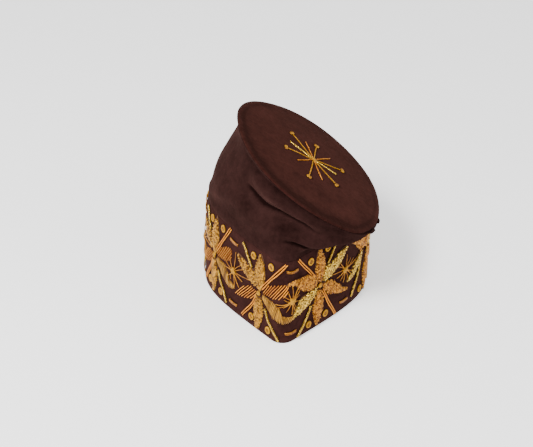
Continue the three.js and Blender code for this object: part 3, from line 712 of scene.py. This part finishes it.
def pad_leaf(work, leaf, middle, height):
    """Low padding under a leaf: a grid across it, raised by the square root of a parabola across
    and let down at both ends, closed by a flat underside."""
    t, s = np.linspace(0, 1, PAD_ROWS), np.linspace(0, 1, PAD_COLUMNS)
    one, two = along(leaf[0], t)[:, None], along(leaf[1], t)[:, None]
    covered = 1 - 2 * PAD_INSET
    flat = one + (two - one) * (PAD_INSET + covered * s[None, :, None])
    let_down = np.sqrt(np.clip(np.sin(np.pi * (PAD_INSET + covered * t)), 0, 1))[:, None]
    rise = height * np.sqrt(4 * s * (1 - s))[None] * let_down
    upper = np.concatenate([flat + middle, (LIE + rise)[..., None]], -1)
    lower = upper.copy()
    lower[..., 2] = LIE - PAD_SUNK
    count = PAD_ROWS * PAD_COLUMNS
    number = np.arange(count).reshape(PAD_ROWS, PAD_COLUMNS)
    top = np.stack([number[:-1, :-1], number[:-1, 1:], number[1:, 1:], number[1:, :-1]], -1).reshape(-1, 4)
    rim = np.concatenate([number[0, :], number[1:, -1], number[-1, -2::-1], number[-2:0:-1, 0]])
    after = np.roll(rim, -1)
    walls = np.stack([after, rim, rim + count, after + count], -1)
    quads = np.concatenate([top, top[:, ::-1] + count, walls])
    points = np.concatenate([upper.reshape(-1, 3), lower.reshape(-1, 3)])
    a, b, c = points[top[MIDDLE_FACE, [0, 1, 3]]]
    if np.cross(b - a, c - a)[2] < 0:
        quads = quads[:, ::-1]
    # The padding's dark colour doubles as painted shade in the gaps between threads
    work.add(points, quads, np.zeros((len(quads), 4, 2)), np.full(len(points), 0.5), PADDING_AND_GAP_SHADE)


SHORTEST_STITCH = 1.2
STITCH_TAPER = np.array([0.35, 0.85, 1, 1, 1, 0.85, 0.35])


def satin_leaf(work, leaf, middle, finish, pitch, thick, slant, height, seed):
    """Stitches side by side across a leaf, from one edge to the other a little further on, each
    bowed up over the padding by the sine of its length, with ragged ends."""
    rng = np.random.default_rng(seed)
    run = np.linalg.norm(np.diff(np.asarray(leaf[0], float), axis=0), axis=1).sum()
    count = int(run / pitch)
    t = (np.arange(count) + 0.5) / count + rng.normal(0, 0.004, count)
    one = along(leaf[0], np.clip(t, 0, 1))
    two = along(leaf[1], np.clip(t + slant, 0, 1))
    keep = np.linalg.norm(two - one, axis=1) > SHORTEST_STITCH
    one, two, count = one[keep], two[keep], keep.sum()
    over = rng.uniform(-0.02, 0.06, (count, 2))
    s = np.linspace(0, 1, len(STITCH_TAPER))[None, :, None]
    start = one - (two - one) * over[:, :1]
    end = two + (two - one) * over[:, 1:]
    flat = start[:, None] * (1 - s) + end[:, None] * s + middle
    bow = LIE + thick * 0.6 + height * np.sin(np.pi * s) ** 0.6 + rng.uniform(-0.1, 0.12, (count, 1, 1))
    paths = np.concatenate([flat, bow], -1)
    work.tubes(paths, thick * STITCH_TAPER, rng.beta(2, 2, count), finish, flat=0.8)


def purl_leaf(work, leaf, middle, finish, pitch, chip, thick, angles, height, lift, seed):
    """Cut pieces of purl over a leaf: a jittered lattice of short straight pieces, turned to one
    of the given angles by rows, tilted a little, and raised by the padding under them."""
    rng = np.random.default_rng(seed)
    ring = leaf_ring(leaf)
    low, high = ring.min(0), ring.max(0)
    x, y = np.meshgrid(np.arange(low[0], high[0], pitch), np.arange(low[1], high[1], pitch * 0.8))
    x = x + (np.arange(x.shape[0]) % 2)[:, None] * pitch / 2
    which = (np.arange(x.shape[0])[:, None] + np.arange(x.shape[1])[None]) % len(angles)
    spots = np.stack([x.ravel(), y.ravel()], -1) + rng.normal(0, pitch * 0.16, (x.size, 2))
    angle = np.radians(np.asarray(angles, float)[which.ravel()]) + rng.normal(0, 0.3, x.size)
    depth = edge_distance(spots, ring)
    keep = inside(spots, ring) & (depth > chip * 0.22)
    spots, angle, depth = spots[keep], angle[keep], depth[keep]
    count = len(spots)
    half = chip / 2 * rng.uniform(0.75, 1.2, count)
    reach = np.stack([np.cos(angle), np.sin(angle)], -1) * half[:, None]
    out = LIE + thick * 0.8 + height * np.sqrt(np.clip(depth / 4.5, 0, 1)) + rng.uniform(0, lift, count)
    tip = rng.normal(0, 0.22, count) * half
    s = np.array([-1, -0.8, 0.8, 1])[None, :, None]
    paths = np.concatenate([spots[:, None] + middle + reach[:, None] * s,
                            out[:, None, None] + tip[:, None, None] * s], -1)
    work.tubes(paths, thick * np.array([0.55, 1, 1, 0.55]), rng.beta(0.7, 0.7, count), finish)


def ply_paths(path, plies, offset, pitch, phase=0.0):
    """Plies wound round a cord's middle line: each stands off it across by the cosine and out by
    the sine of a turn that goes once round in each pitch."""
    way = unit(np.gradient(path, axis=0)[:, :2])
    run = np.concatenate([[0], np.cumsum(np.linalg.norm(np.diff(path, axis=0), axis=1))])
    turn = 2 * np.pi * (run / pitch + np.arange(plies)[:, None] / plies) + phase
    across = np.stack([way[:, 1], -way[:, 0]], -1)
    return np.concatenate([path[None, :, :2] + offset * np.cos(turn)[..., None] * across,
                           path[None, :, 2:] + offset * np.sin(turn)[..., None]], -1)


def twisted_cord(work, ends, finish, thick, pitch, height, shade, seed=0):
    """A cord of two plies from one place to another through any between, lying on the cloth."""
    ends = np.asarray(ends, float)
    length = np.linalg.norm(np.diff(ends, axis=0), axis=1).sum()
    places = max(int(length / pitch * 6), 6)
    flat = along(ends, np.linspace(0, 1, places))
    rng = np.random.default_rng(seed)
    sway = 0.18 * np.cos(np.linspace(0, length / 5, places) + rng.uniform(0, 6))
    way = unit(np.gradient(flat, axis=0))
    flat = flat + np.stack([way[:, 1], -way[:, 0]], -1) * sway[:, None]
    path = np.concatenate([flat, np.full((places, 1), height)], -1)
    ends_down = np.minimum(1, np.minimum(np.arange(places), np.arange(places)[::-1]) / 2.5 + 0.3)
    plies = ply_paths(path, 2, thick * 0.46, pitch, rng.uniform(0, 6))
    work.tubes(plies, thick * 0.62 * ends_down, shade, finish)


SHORTEST_CORD = 3.0
CORD_PITCH = 2.2  # along a cord for one turn of its plies


def hatched_leaf(work, leaf, middle, finish, pitch, slope, thick, seed):
    """Separate twisted cords side by side at one slope, each as long as the leaf is wide there,
    with dark cloth between them: the ring is cut by lines a pitch apart."""
    rng = np.random.default_rng(seed)
    ring = leaf_ring(leaf)
    way = np.array([np.cos(np.radians(slope)), np.sin(np.radians(slope))])
    ring_after = np.roll(ring, -1, axis=0)
    offset = ring @ [-way[1], way[0]]
    for cut in np.arange(offset.min() + pitch * 0.6, offset.max(), pitch):
        side, after = offset - cut, np.roll(offset, -1) - cut
        k = np.flatnonzero(side * after < 0)
        if len(k) < 2:
            continue
        crossed = (side[k] / (side[k] - after[k]))[:, None]
        places = ring[k] + (ring_after[k] - ring[k]) * crossed
        one, two = places[np.argmin(places @ way)], places[np.argmax(places @ way)]
        if np.linalg.norm(two - one) > SHORTEST_CORD:
            over = rng.uniform(-0.3, 0.5, 2)
            ends = [one - way * over[0] + middle, two + way * over[1] + middle]
            shade = rng.uniform(0.3, 0.95)
            twisted_cord(work, ends, finish, thick, CORD_PITCH, LIE + thick, shade, int(rng.integers(1e6)))


# Leaves of the flowers left of the front fold, in millimetres right of the flower's middle and
# above it: one edge and then the other, from the middle of the flower to the tip.
left_leaves = {
    "up": ([(-3, 5), (-7, 23), (-4.5, 34), (-2, 40.5), (2, 47)],
           [(3, 3), (7, 13), (10, 23), (8, 34), (6, 40.5), (2, 47)]),
    "down": ([(-3.5, -5), (-5, -9.5), (-7, -21), (-6.5, -28), (-6, -34.5), (-4.5, -45)],
             [(3, -4), (6, -9.5), (8, -21), (6, -28), (4, -34.5), (2, -41), (-1, -45)]),
    "right_up": ([(4.5, 4.5), (11, 14.5), (20, 19.5), (25, 22), (30, 23.5), (34, 23), (36, 19)],
                 [(4.5, 4), (7.5, 2.5), (12, 3), (17.5, 3.5), (24, 4.5), (29, 7), (34, 10.5), (36, 18)]),
    "left_down": ([(-3, 0), (-6, 0), (-13.5, 1), (-18.5, -1.5), (-23.5, -5.5), (-28.5, -10),
                   (-38.5, -21.5)],
                  [(-3.5, -3), (-5, -7), (-10, -12.5), (-18.5, -17), (-23.5, -19), (-28.5, -20.5),
                   (-38.5, -21.5)]),
    "right_down": ([(5.5, 1), (16, 0), (22.5, -0.5), (26.5, -4.5), (29, -9.5), (29.5, -13), (33, -14.5),
                    (37.5, -15.5), (41.5, -15.5)],
                   [(5, -3), (9, -8), (14, -12.5), (17.5, -17), (21.5, -19.5), (26.5, -22), (31.5, -23.5),
                    (36.5, -22.5), (41.5, -20)]),
    "left_up": ([(-4, 15), (-9.5, 23.5), (-16, 25), (-23.5, 27), (-28.5, 28), (-33.5, 29)],
                [(-4, 4), (-10.5, 7), (-15.5, 8.5), (-19.5, 10.5), (-24.5, 14), (-28.5, 18), (-33.5, 27)]),
}

# Leaves of the flowers right of the fold
right_leaves = {
    "up": ([(-3, 4), (-7, 12), (-8, 20), (-8, 24.5), (-6.5, 34), (-4.5, 42), (-2, 45.5)],
           [(3, 4), (5.5, 13), (6, 21.5), (6.5, 26.5), (5, 32.5), (3, 37), (-2, 45.5)]),
    "down": ([(-3.5, -4), (-7, -13), (-9.5, -21), (-10, -25.5), (-8, -33.5), (-5.5, -43), (-2.5, -49)],
             [(2.5, -4), (3, -10), (6, -18), (6.5, -22.5), (5, -31.5), (2.5, -39), (-2.5, -49)]),
    "left_up": ([(-4, 10), (-11, 18), (-17.5, 21.5), (-27, 22), (-34.5, 23), (-39.5, 22.5), (-45, 19)],
                [(-4.5, 2), (-12, 0), (-17, 1.5), (-22, 4.5), (-27, 7), (-32, 12), (-34.5, 16.5),
                 (-45, 19)]),
    "right_down": ([(3, 1.5), (9.5, 0), (15.5, -0.5), (20.5, -4), (28, -11.5), (32, -16.5), (37, -21),
                    (43, -24)],
                   [(4.5, -5.5), (9.5, -12.5), (13, -17.5), (20.5, -21), (28, -24.5), (34.5, -26.5),
                    (43, -26.5)]),
    "right_up": ([(3, 10), (7, 20.5), (13, 19.5), (20.5, 22.5), (25.5, 25.5), (33, 27.5), (40.5, 27.5)],
                 [(4, 1.5), (9.5, 2), (15.5, 4), (20.5, 6.5), (25.5, 9.5), (30.5, 13.5), (34.5, 19),
                  (40.5, 24)]),
    "left_down": ([(-3, 0), (-9.5, 0), (-17, -1), (-24.5, -1.5), (-30.5, -6), (-34.5, -11), (-36.5, -18)],
                  [(-4, -5.5), (-9.5, -11), (-15.5, -16), (-22, -18.5), (-28, -20), (-37, -22.5)]),
}

# The flower past the second starburst is worked higher on its near side, and stands further on
far_leaves = right_leaves | {
    "left_up": ([(-4, 12), (-10.5, 17), (-18.5, 31), (-25.5, 29), (-34.5, 32), (-40.5, 33)],
                [(-4, 6), (-12, 9.5), (-17.5, 6.5), (-26.5, 18), (-35, 25), (-40.5, 32)]),
    "left_down": ([(-12, 10), (-17.5, 6.5), (-23.5, 4), (-30, -0.5), (-34.5, -7.5), (-41.5, -12)],
                  [(-10.5, 10), (-14.5, 3), (-17.5, -5.5), (-26, -12.5), (-34, -17.5), (-42.5, -17.5)]),
}
FAR_FLOWER, FAR_SHIFT = 1, 7.5


def fitted(chart, wide):
    """A chart's lines made wider or narrower by a factor."""
    return [np.asarray(line, float) * [wide, 1] for line in chart]


def left_flower(work, middle, wide, seed):
    """Sandy purl up, down and to upper left, copper cords to right and lower left, and satin
    stitch to lower right."""
    for k, name in enumerate(("up", "down")):
        leaf = fitted(left_leaves[name], wide)
        pad_leaf(work, leaf, middle, height=0.9)
        purl_leaf(work, leaf, middle, SANDY, pitch=1.8, chip=2.6, thick=0.6, angles=(45, -45),
                  height=1.0, lift=0.3, seed=seed + k)
    for k, (name, slope) in enumerate((("right_up", 58), ("left_down", 50))):
        leaf = fitted(left_leaves[name], wide)
        hatched_leaf(work, leaf, middle, COPPER, pitch=2.25, slope=slope, thick=0.46, seed=seed + 10 + k)
    leaf = fitted(left_leaves["right_down"], wide)
    pad_leaf(work, leaf, middle, height=0.7)
    satin_leaf(work, leaf, middle, SANDY, pitch=1.7, thick=0.56, slant=0.05, height=0.9, seed=seed + 20)
    leaf = fitted(left_leaves["left_up"], wide)
    pad_leaf(work, leaf, middle, height=0.8)
    purl_leaf(work, leaf, middle, SANDY, pitch=1.8, chip=2.6, thick=0.6, angles=(30, 75),
              height=1.0, lift=0.4, seed=seed + 21)


def right_flower(work, leaves, middle, wide, seed):
    """Orange purl in four leaves, and glittering pale purl to upper right and lower left."""
    for k, (name, angles) in enumerate((("up", (35, 145)), ("down", (35, 145)), ("left_up", (80, 130)),
                                        ("right_down", (60, 110)))):
        leaf = fitted(leaves[name], wide)
        pad_leaf(work, leaf, middle, height=0.9)
        purl_leaf(work, leaf, middle, ORANGE, pitch=1.8, chip=2.9, thick=0.58, angles=angles,
                  height=1.0, lift=0.3, seed=seed + k)
    for k, name in enumerate(("right_up", "left_down")):
        leaf = fitted(leaves[name], wide)
        pad_leaf(work, leaf, middle, height=0.8)
        purl_leaf(work, leaf, middle, GLITTER, pitch=1.9, chip=2.7, thick=0.66, angles=(20, 70, -30),
                  height=1.0, lift=0.5, seed=seed + 10 + k)


KNOT_LOOPS = 26


def knot(work, middle, radius, seed):
    """A cluster of small loops: short arcs turned every way about one middle, piled up."""
    rng = np.random.default_rng(seed)
    turn = rng.uniform(0, 2 * np.pi, KNOT_LOOPS)
    away = radius * np.sqrt(rng.uniform(0, 0.7, KNOT_LOOPS))
    spot = middle + np.stack([np.cos(turn), np.sin(turn)], -1) * away[:, None]
    angle = rng.uniform(0, np.pi, KNOT_LOOPS)
    s = np.linspace(-1, 1, 5)[None]
    half = rng.uniform(0.9, 1.5, KNOT_LOOPS)[:, None]
    lift = (LIE + 0.5 + (1 - away / radius) * 1.3)[:, None] + 0.7 * (1 - s**2)
    paths = np.stack([spot[:, :1] + np.cos(angle)[:, None] * half * s,
                      spot[:, 1:] + np.sin(angle)[:, None] * half * s, lift], -1)
    work.tubes(paths, 0.5 * np.array([0.6, 1, 1, 1, 0.6]), rng.uniform(0.3, 1, KNOT_LOOPS), YOLK)


# Each flower stands halfway between two stars, apart from the far one. Its values are how far
# round its middle is, how high, and the room between the two stars.
star_across = FIRST_STAR + np.arange(REPEATS + 1) * REPEAT_WIDTH + np.append(STAR_DRIFT, STAR_DRIFT[0])
flower_levels = [50.5, 50.0, 48.5, 48.5, 48.5, 48.5, 50.0, 47.0]
flowers = [[(before + after) / 2, level, after - before]
           for before, after, level in zip(star_across[:-1], star_across[1:], flower_levels)]
flowers[FAR_FLOWER][0] += FAR_SHIFT
for i, (across, level, room) in enumerate(flowers):
    work = ThreadWork()
    if i < REPEATS / 2:
        leaves = far_leaves if i == FAR_FLOWER else right_leaves
        right_flower(work, leaves, np.array([across, level]), room / RIGHT_ROOM, 100 * i)
    else:
        left_flower(work, np.array([across, level]), room / LEFT_ROOM, 100 * i)
    knot(work, np.array([across, level]), radius=2.6, seed=100 * i + 50)
    work.lay(f"flower_threads_{i + 1}", on_band, leaf_materials, [f"band_flower_{i + 1}"])

# The bars: straight couched cords that stand out between the leaves. The copper ones are two
# twisted cords side by side, and the gold ones are one thick bright twist.

left_bars = {COPPER: ([(4, 7), (33, 47)], [(-3.5, -7), (-7.5, -15.5), (-13.5, -25), (-25, -40.5)]),
             GLITTER: ([(-10.5, 25), (-16, 33.5), (-21, 42), (-25, 46)],
                       [(9.5, -13), (12, -17), (15, -24.5), (20, -30), (24, -37.5), (27.5, -44)])}
right_bars = {COPPER: ([(-7, 12.5), (-31.5, 44.5)], [(3.5, -6.5), (9.5, -18), (15.5, -30.5), (25.5, -48)]),
              GLITTER: ([(9.5, 21.5), (14.5, 29), (18, 34.5), (22.5, 41.5)],
                        [(-12, -18.5), (-17, -28.5), (-22, -37.5), (-30, -48)])}
far_gold = [right_bars[GLITTER][0], [(-16.5, 2.5), (-20, -13.5), (-24, -23.5), (-33.5, -40)]]
CORDS_APART = 2.1


def double_cord(work, ends, seed):
    """Two copper cords side by side: the line of ends moved half their distance apart each way."""
    ends = np.asarray(ends, float)
    way = unit(np.gradient(ends, axis=0))
    side = np.stack([way[:, 1], -way[:, 0]], -1)
    for k, offset in enumerate((-CORDS_APART / 2, CORDS_APART / 2)):
        twisted_cord(work, ends + side * offset, COPPER, thick=0.65, pitch=2.6, height=LIE + 0.8,
                     shade=0.5 + 0.15 * k, seed=seed + k)


def gold_twist(work, ends, seed):
    """One thick cord of two bright plies."""
    twisted_cord(work, ends, GLITTER, thick=1.2, pitch=3.1, height=LIE + 1.2, shade=0.36, seed=seed)


for i, (across, level, room) in enumerate(flowers):
    bars, wide = (right_bars, room / RIGHT_ROOM) if i < REPEATS / 2 else (left_bars, room / LEFT_ROOM)
    if i == FAR_FLOWER:
        bars = {COPPER: right_bars[COPPER], GLITTER: far_gold}
    work = ThreadWork()
    for k, ends in enumerate(fitted(bars[COPPER], wide)):
        double_cord(work, ends + [across, level], seed=100 * i + k)
    for k, ends in enumerate(fitted(bars[GLITTER], wide)):
        gold_twist(work, ends + [across, level], seed=100 * i + 10 + k)
    work.lay(f"bar_cords_{i + 1}", on_band, leaf_materials, [])

# The studs: four to a flower, each a small ring of twisted yellow gold with a darker coil in its
# middle, sewn flat to the velvet.

left_studs = [(-8.5, 39), (17.5, 39.5), (-10.5, -34.5), (14.5, -37)]
right_studs = [(-14, 34.5), (9.5, 39.5), (-14, -40.5), (10, -39)]
STUD_RADIUS = 3.75
RING_PLACES, COIL_PLACES = 61, 40


def stud(work, middle, seed):
    """A ring of two plies wound round a circle, and a coil inside it that climbs to the middle."""
    rng = np.random.default_rng(seed)
    turn = np.linspace(0, 2 * np.pi, RING_PLACES)
    ring = np.stack([middle[0] + 0.72 * STUD_RADIUS * np.cos(turn),
                     middle[1] + 0.86 * STUD_RADIUS * np.sin(turn),
                     np.full(RING_PLACES, LIE + 0.75)], -1)
    plies = ply_paths(ring, plies=2, offset=0.42, pitch=2.3, phase=rng.uniform(0, 6))
    work.tubes(plies, 0.6, rng.uniform(0.6, 0.9), YOLK)
    coil = np.linspace(0, 5 * np.pi, COIL_PLACES)
    size = np.linspace(0.42, 0.02, COIL_PLACES) * STUD_RADIUS
    inner = np.stack([middle[0] + 0.85 * size * np.cos(coil), middle[1] + size * np.sin(coil),
                      LIE + 0.55 + 0.5 * np.linspace(0, 1, COIL_PLACES)], -1)
    work.tubes(inner[None], 0.48, 0.0, YOLK)


for i, (across, level, room) in enumerate(flowers):
    studs, wide = (right_studs, room / RIGHT_ROOM) if i < REPEATS / 2 else (left_studs, room / LEFT_ROOM)
    for k, place in enumerate(fitted(studs, wide)):
        work = ThreadWork()
        stud(work, place + [across, level], 100 * i + k)
        work.lay(f"stud_purl_{i + 1}_{k + 1}", on_band, leaf_materials,
                 [f"band_stud_{i + 1}_{k + 1}"])

# The starbursts: between each two flowers, a yellow knot with fine gold threads spread from it,
# each a single long stitch through the velvet at both its ends.

STAR_LEVEL = 50.0
front_rays = np.array([(0, 17.5), (-4, 11), (-7.5, 3), (-16, -3.5), (-16, -8), (-9, -7), (-6, -12.5),
                       (0, -17.5), (5, -9), (6.5, 12), (9, 3), (9, -4), (-10, 9), (12, 12), (4, -14)])
left_rays = np.array([(3, 23), (11, 13), (16, 11), (25, 4), (15, -5), (6.5, -11.5), (2, -19), (-5, -13),
                      (-11, -11), (-16.5, -2), (-16, 8), (-6, 14), (9, -14)])
right_rays = np.array([(3, 17.5), (9.5, 10), (20, 3.5), (16, -8.5), (12, -14.5), (5, -20), (-2, -14),
                       (-13.5, -5), (-20, 3), (-17, 11.5), (-9.5, 13), (-7, -11), (14, 7)])
RAY_PLACES = 9


def starburst(work, middle, rays, seed):
    """Long single stitches from the knot outwards, each thin at its tip and bowed a little to one
    side, and the knot over their roots."""
    rng = np.random.default_rng(seed)
    count = len(rays)
    tips = rays * rng.uniform(0.9, 1.08, (count, 1))
    s = np.linspace(0.08, 1, RAY_PLACES)[None, :, None]
    side = np.stack([tips[:, 1], -tips[:, 0]], -1)
    bow = rng.normal(0, 0.04, (count, 1, 1)) * np.sin(np.pi * s)
    flat = middle + tips[:, None] * s + side[:, None] * bow
    lift = LIE + 0.5 + 0.5 * np.sin(np.pi * s) + rng.uniform(0, 0.15, (count, 1, 1))
    paths = np.concatenate([flat, lift], -1)
    work.tubes(paths, np.linspace(0.44, 0.28, RAY_PLACES), rng.uniform(0.3, 0.8, count), ORANGE)
    knot(work, middle, radius=4.2, seed=seed + 1)
    knot(work, middle, radius=3.0, seed=seed + 2)


for i in range(REPEATS):
    work = ThreadWork()
    rays = front_rays if i == 0 else right_rays if i < REPEATS / 2 else left_rays
    starburst(work, np.array([star_across[i], STAR_LEVEL]), rays, 700 + 10 * i)
    work.lay(f"star_threads_{i + 1}", on_band, leaf_materials, [f"band_star_{i + 1}"])

# The dashes: short couched rolls above and below each starburst, near the band's two edges. Each
# is a pair of thick threads laid side by side, bowed a little and thinner at its ends.

DASHES = ((84.0, 1.2), (11.5, 0.8))  # height, and how far the ends curl up
DASH_HALF = 6.6
DASH_TAPER = np.array([0.4] + [0.95] * 11 + [0.4])
DASH_THICK = 0.78

work = ThreadWork()
for i in range(REPEATS):
    for level, curl in DASHES:
        rng = np.random.default_rng(900 + 10 * i + int(level))
        s = np.linspace(-1, 1, len(DASH_TAPER))
        slope = rng.uniform(-0.12, 0.12)
        path = np.stack([star_across[i] + DASH_HALF * s, level + curl * s**2 + DASH_HALF * slope * s,
                         0 * s + LIE + 0.8], -1)
        for k, offset in enumerate((-0.75, 0.75)):
            roll = ply_paths(path + [0, offset, 0], plies=1, offset=0.01, pitch=3)
            work.tubes(roll, DASH_THICK * DASH_TAPER, 0.16 + 0.2 * k, ORANGE)
work.lay("dash_rolls", on_band, leaf_materials, [])

# The top star: worked on the panel near its middle, with six long cords that end in small
# two-lobed buds, and between them two bright cords and four copper ones with plain ends.

STAR_SPOT = np.array([2.0, 4.8])
bud_tips = [(-26.5, 25), (3.5, 30), (35.4, 15), (28.6, -19), (-4.2, -35), (-32, -8)]
bright_tips = [(-28, 7), (28, 0)]
copper_tips = [(-10, 25), (20, 22.6), (11, -26.6), (-18.6, -18.6)]
BUD_RADIUS, BUD_OUT, BUD_PLACES = 1.15, 1.1, 25
work = ThreadWork()
for k, tip in enumerate(bud_tips):
    tip = np.asarray(tip, float)
    twisted_cord(work, [STAR_SPOT, STAR_SPOT + tip * 0.94], YOLK, thick=0.62, pitch=CORD_PITCH,
                 height=LIE + 0.7, shade=0.45, seed=30 + k)
    side = np.array([tip[1], -tip[0]]) / np.linalg.norm(tip)
    for lobe in (-1, 1):
        turn = np.linspace(0, 2 * np.pi, BUD_PLACES)
        spot = STAR_SPOT + tip + side * lobe * BUD_OUT
        ring = np.stack([spot[0] + BUD_RADIUS * np.cos(turn), spot[1] + BUD_RADIUS * np.sin(turn),
                         np.full(BUD_PLACES, LIE + 0.8)], -1)
        work.tubes(ply_paths(ring, plies=2, offset=0.32, pitch=1.8), 0.5, 0.4 + 0.2 * lobe, YOLK)
for k, tip in enumerate(bright_tips):
    twisted_cord(work, [STAR_SPOT, STAR_SPOT + tip], GLITTER, thick=0.7, pitch=CORD_PITCH,
                 height=LIE + 0.8, shade=0.8, seed=40 + k)
for k, tip in enumerate(copper_tips):
    twisted_cord(work, [STAR_SPOT, STAR_SPOT + tip], COPPER, thick=0.6, pitch=CORD_PITCH,
                 height=LIE + 0.7, shade=0.5, seed=50 + k)
knot(work, STAR_SPOT, radius=2.2, seed=61)
work.lay("top_star_cords", on_top, leaf_materials, ["top_star"])

# The setting: a pale floor and a bright surrounding, a lamp over the front left with a weaker one
# on the right, and the camera where the photograph was taken from.

CAMERA_RISE = np.radians(33.0)
CAMERA_SWING = np.radians(0.821)
CAMERA_ROLL = np.radians(-1.873)
CAMERA_AWAY = 1.5
CAMERA_HEIGHT = 0.08  # metres up, of the place it looks at
FOCAL_PIXELS = 1486.6
PICTURE = (533.0, 447.0)
LENS_AXIS = (287.626, 209.732)  # pixel that the lens points at
SENSOR = 36.0
FLOOR_SIZE = 24.0

bpy.ops.mesh.primitive_plane_add(size=FLOOR_SIZE)
floor = bpy.context.object
floor.name = "floor"
floor_material = new_material("pale_floor", Base_Color=(0.9, 0.9, 0.9, 1), Roughness=0.8,
                              Emission_Color=(1, 1, 1, 1), Emission_Strength=0.9)[0]
floor.data.materials.append(floor_material)

world = bpy.data.worlds.new("studio")
bpy.context.scene.world = world
world.use_nodes = True
background = world.node_tree.nodes["Background"]
background.inputs["Color"].default_value = (1, 1, 1, 1)
background.inputs["Strength"].default_value = 0.5


LIT_PLACE = np.array([0, 0, 0.1])


def soft_lamp(name, place, power, size):
    """A square lamp that faces the cap: its -Z axis points from its place to the cap."""
    lamp = bpy.data.lights.new(name, "AREA")
    lamp.energy, lamp.size = power, size
    holder = bpy.data.objects.new(name, lamp)
    bpy.context.collection.objects.link(holder)
    backward = unit(np.array(place) - LIT_PLACE)
    rightward = unit(np.cross([0, 0, 1], backward))
    matrix = np.eye(4)
    matrix[:3] = np.stack([rightward, np.cross(backward, rightward), backward, place], -1)
    holder.matrix_world = Matrix(matrix.tolist())


soft_lamp("key_lamp", (-0.7, -1.1, 1.5), power=70.0, size=0.5)
soft_lamp("fill_lamp", (1.3, -0.6, 1.0), power=8.0, size=1.0)

camera = bpy.data.cameras.new("camera")
camera_holder = bpy.data.objects.new("camera", camera)
bpy.context.collection.objects.link(camera_holder)
sideways = np.array([1.0, 0.0, 0.0])
upright = np.array([0.0, np.sin(CAMERA_RISE), np.cos(CAMERA_RISE)])
ahead = np.array([0.0, np.cos(CAMERA_RISE), -np.sin(CAMERA_RISE)])
rightward = np.cos(CAMERA_ROLL) * sideways - np.sin(CAMERA_ROLL) * upright
upward = np.sin(CAMERA_ROLL) * sideways + np.cos(CAMERA_ROLL) * upright
swing = np.array([[np.cos(CAMERA_SWING), -np.sin(CAMERA_SWING), 0],
                  [np.sin(CAMERA_SWING), np.cos(CAMERA_SWING), 0], [0, 0, 1]])
camera_place = plan_middle + [0, 0, CAMERA_HEIGHT] - CAMERA_AWAY * (swing @ ahead)
camera_matrix = np.eye(4)
camera_matrix[:3] = np.stack([swing @ rightward, swing @ upward, -(swing @ ahead), camera_place], -1)
camera_holder.matrix_world = Matrix(camera_matrix.tolist())
camera.sensor_width = SENSOR
camera.lens = SENSOR * FOCAL_PIXELS / PICTURE[0]
camera.shift_x = (PICTURE[0] / 2 - LENS_AXIS[0]) / PICTURE[0]
camera.shift_y = (LENS_AXIS[1] - PICTURE[1] / 2) / PICTURE[0]
camera.clip_end = 30.0
bpy.context.scene.camera = camera_holder
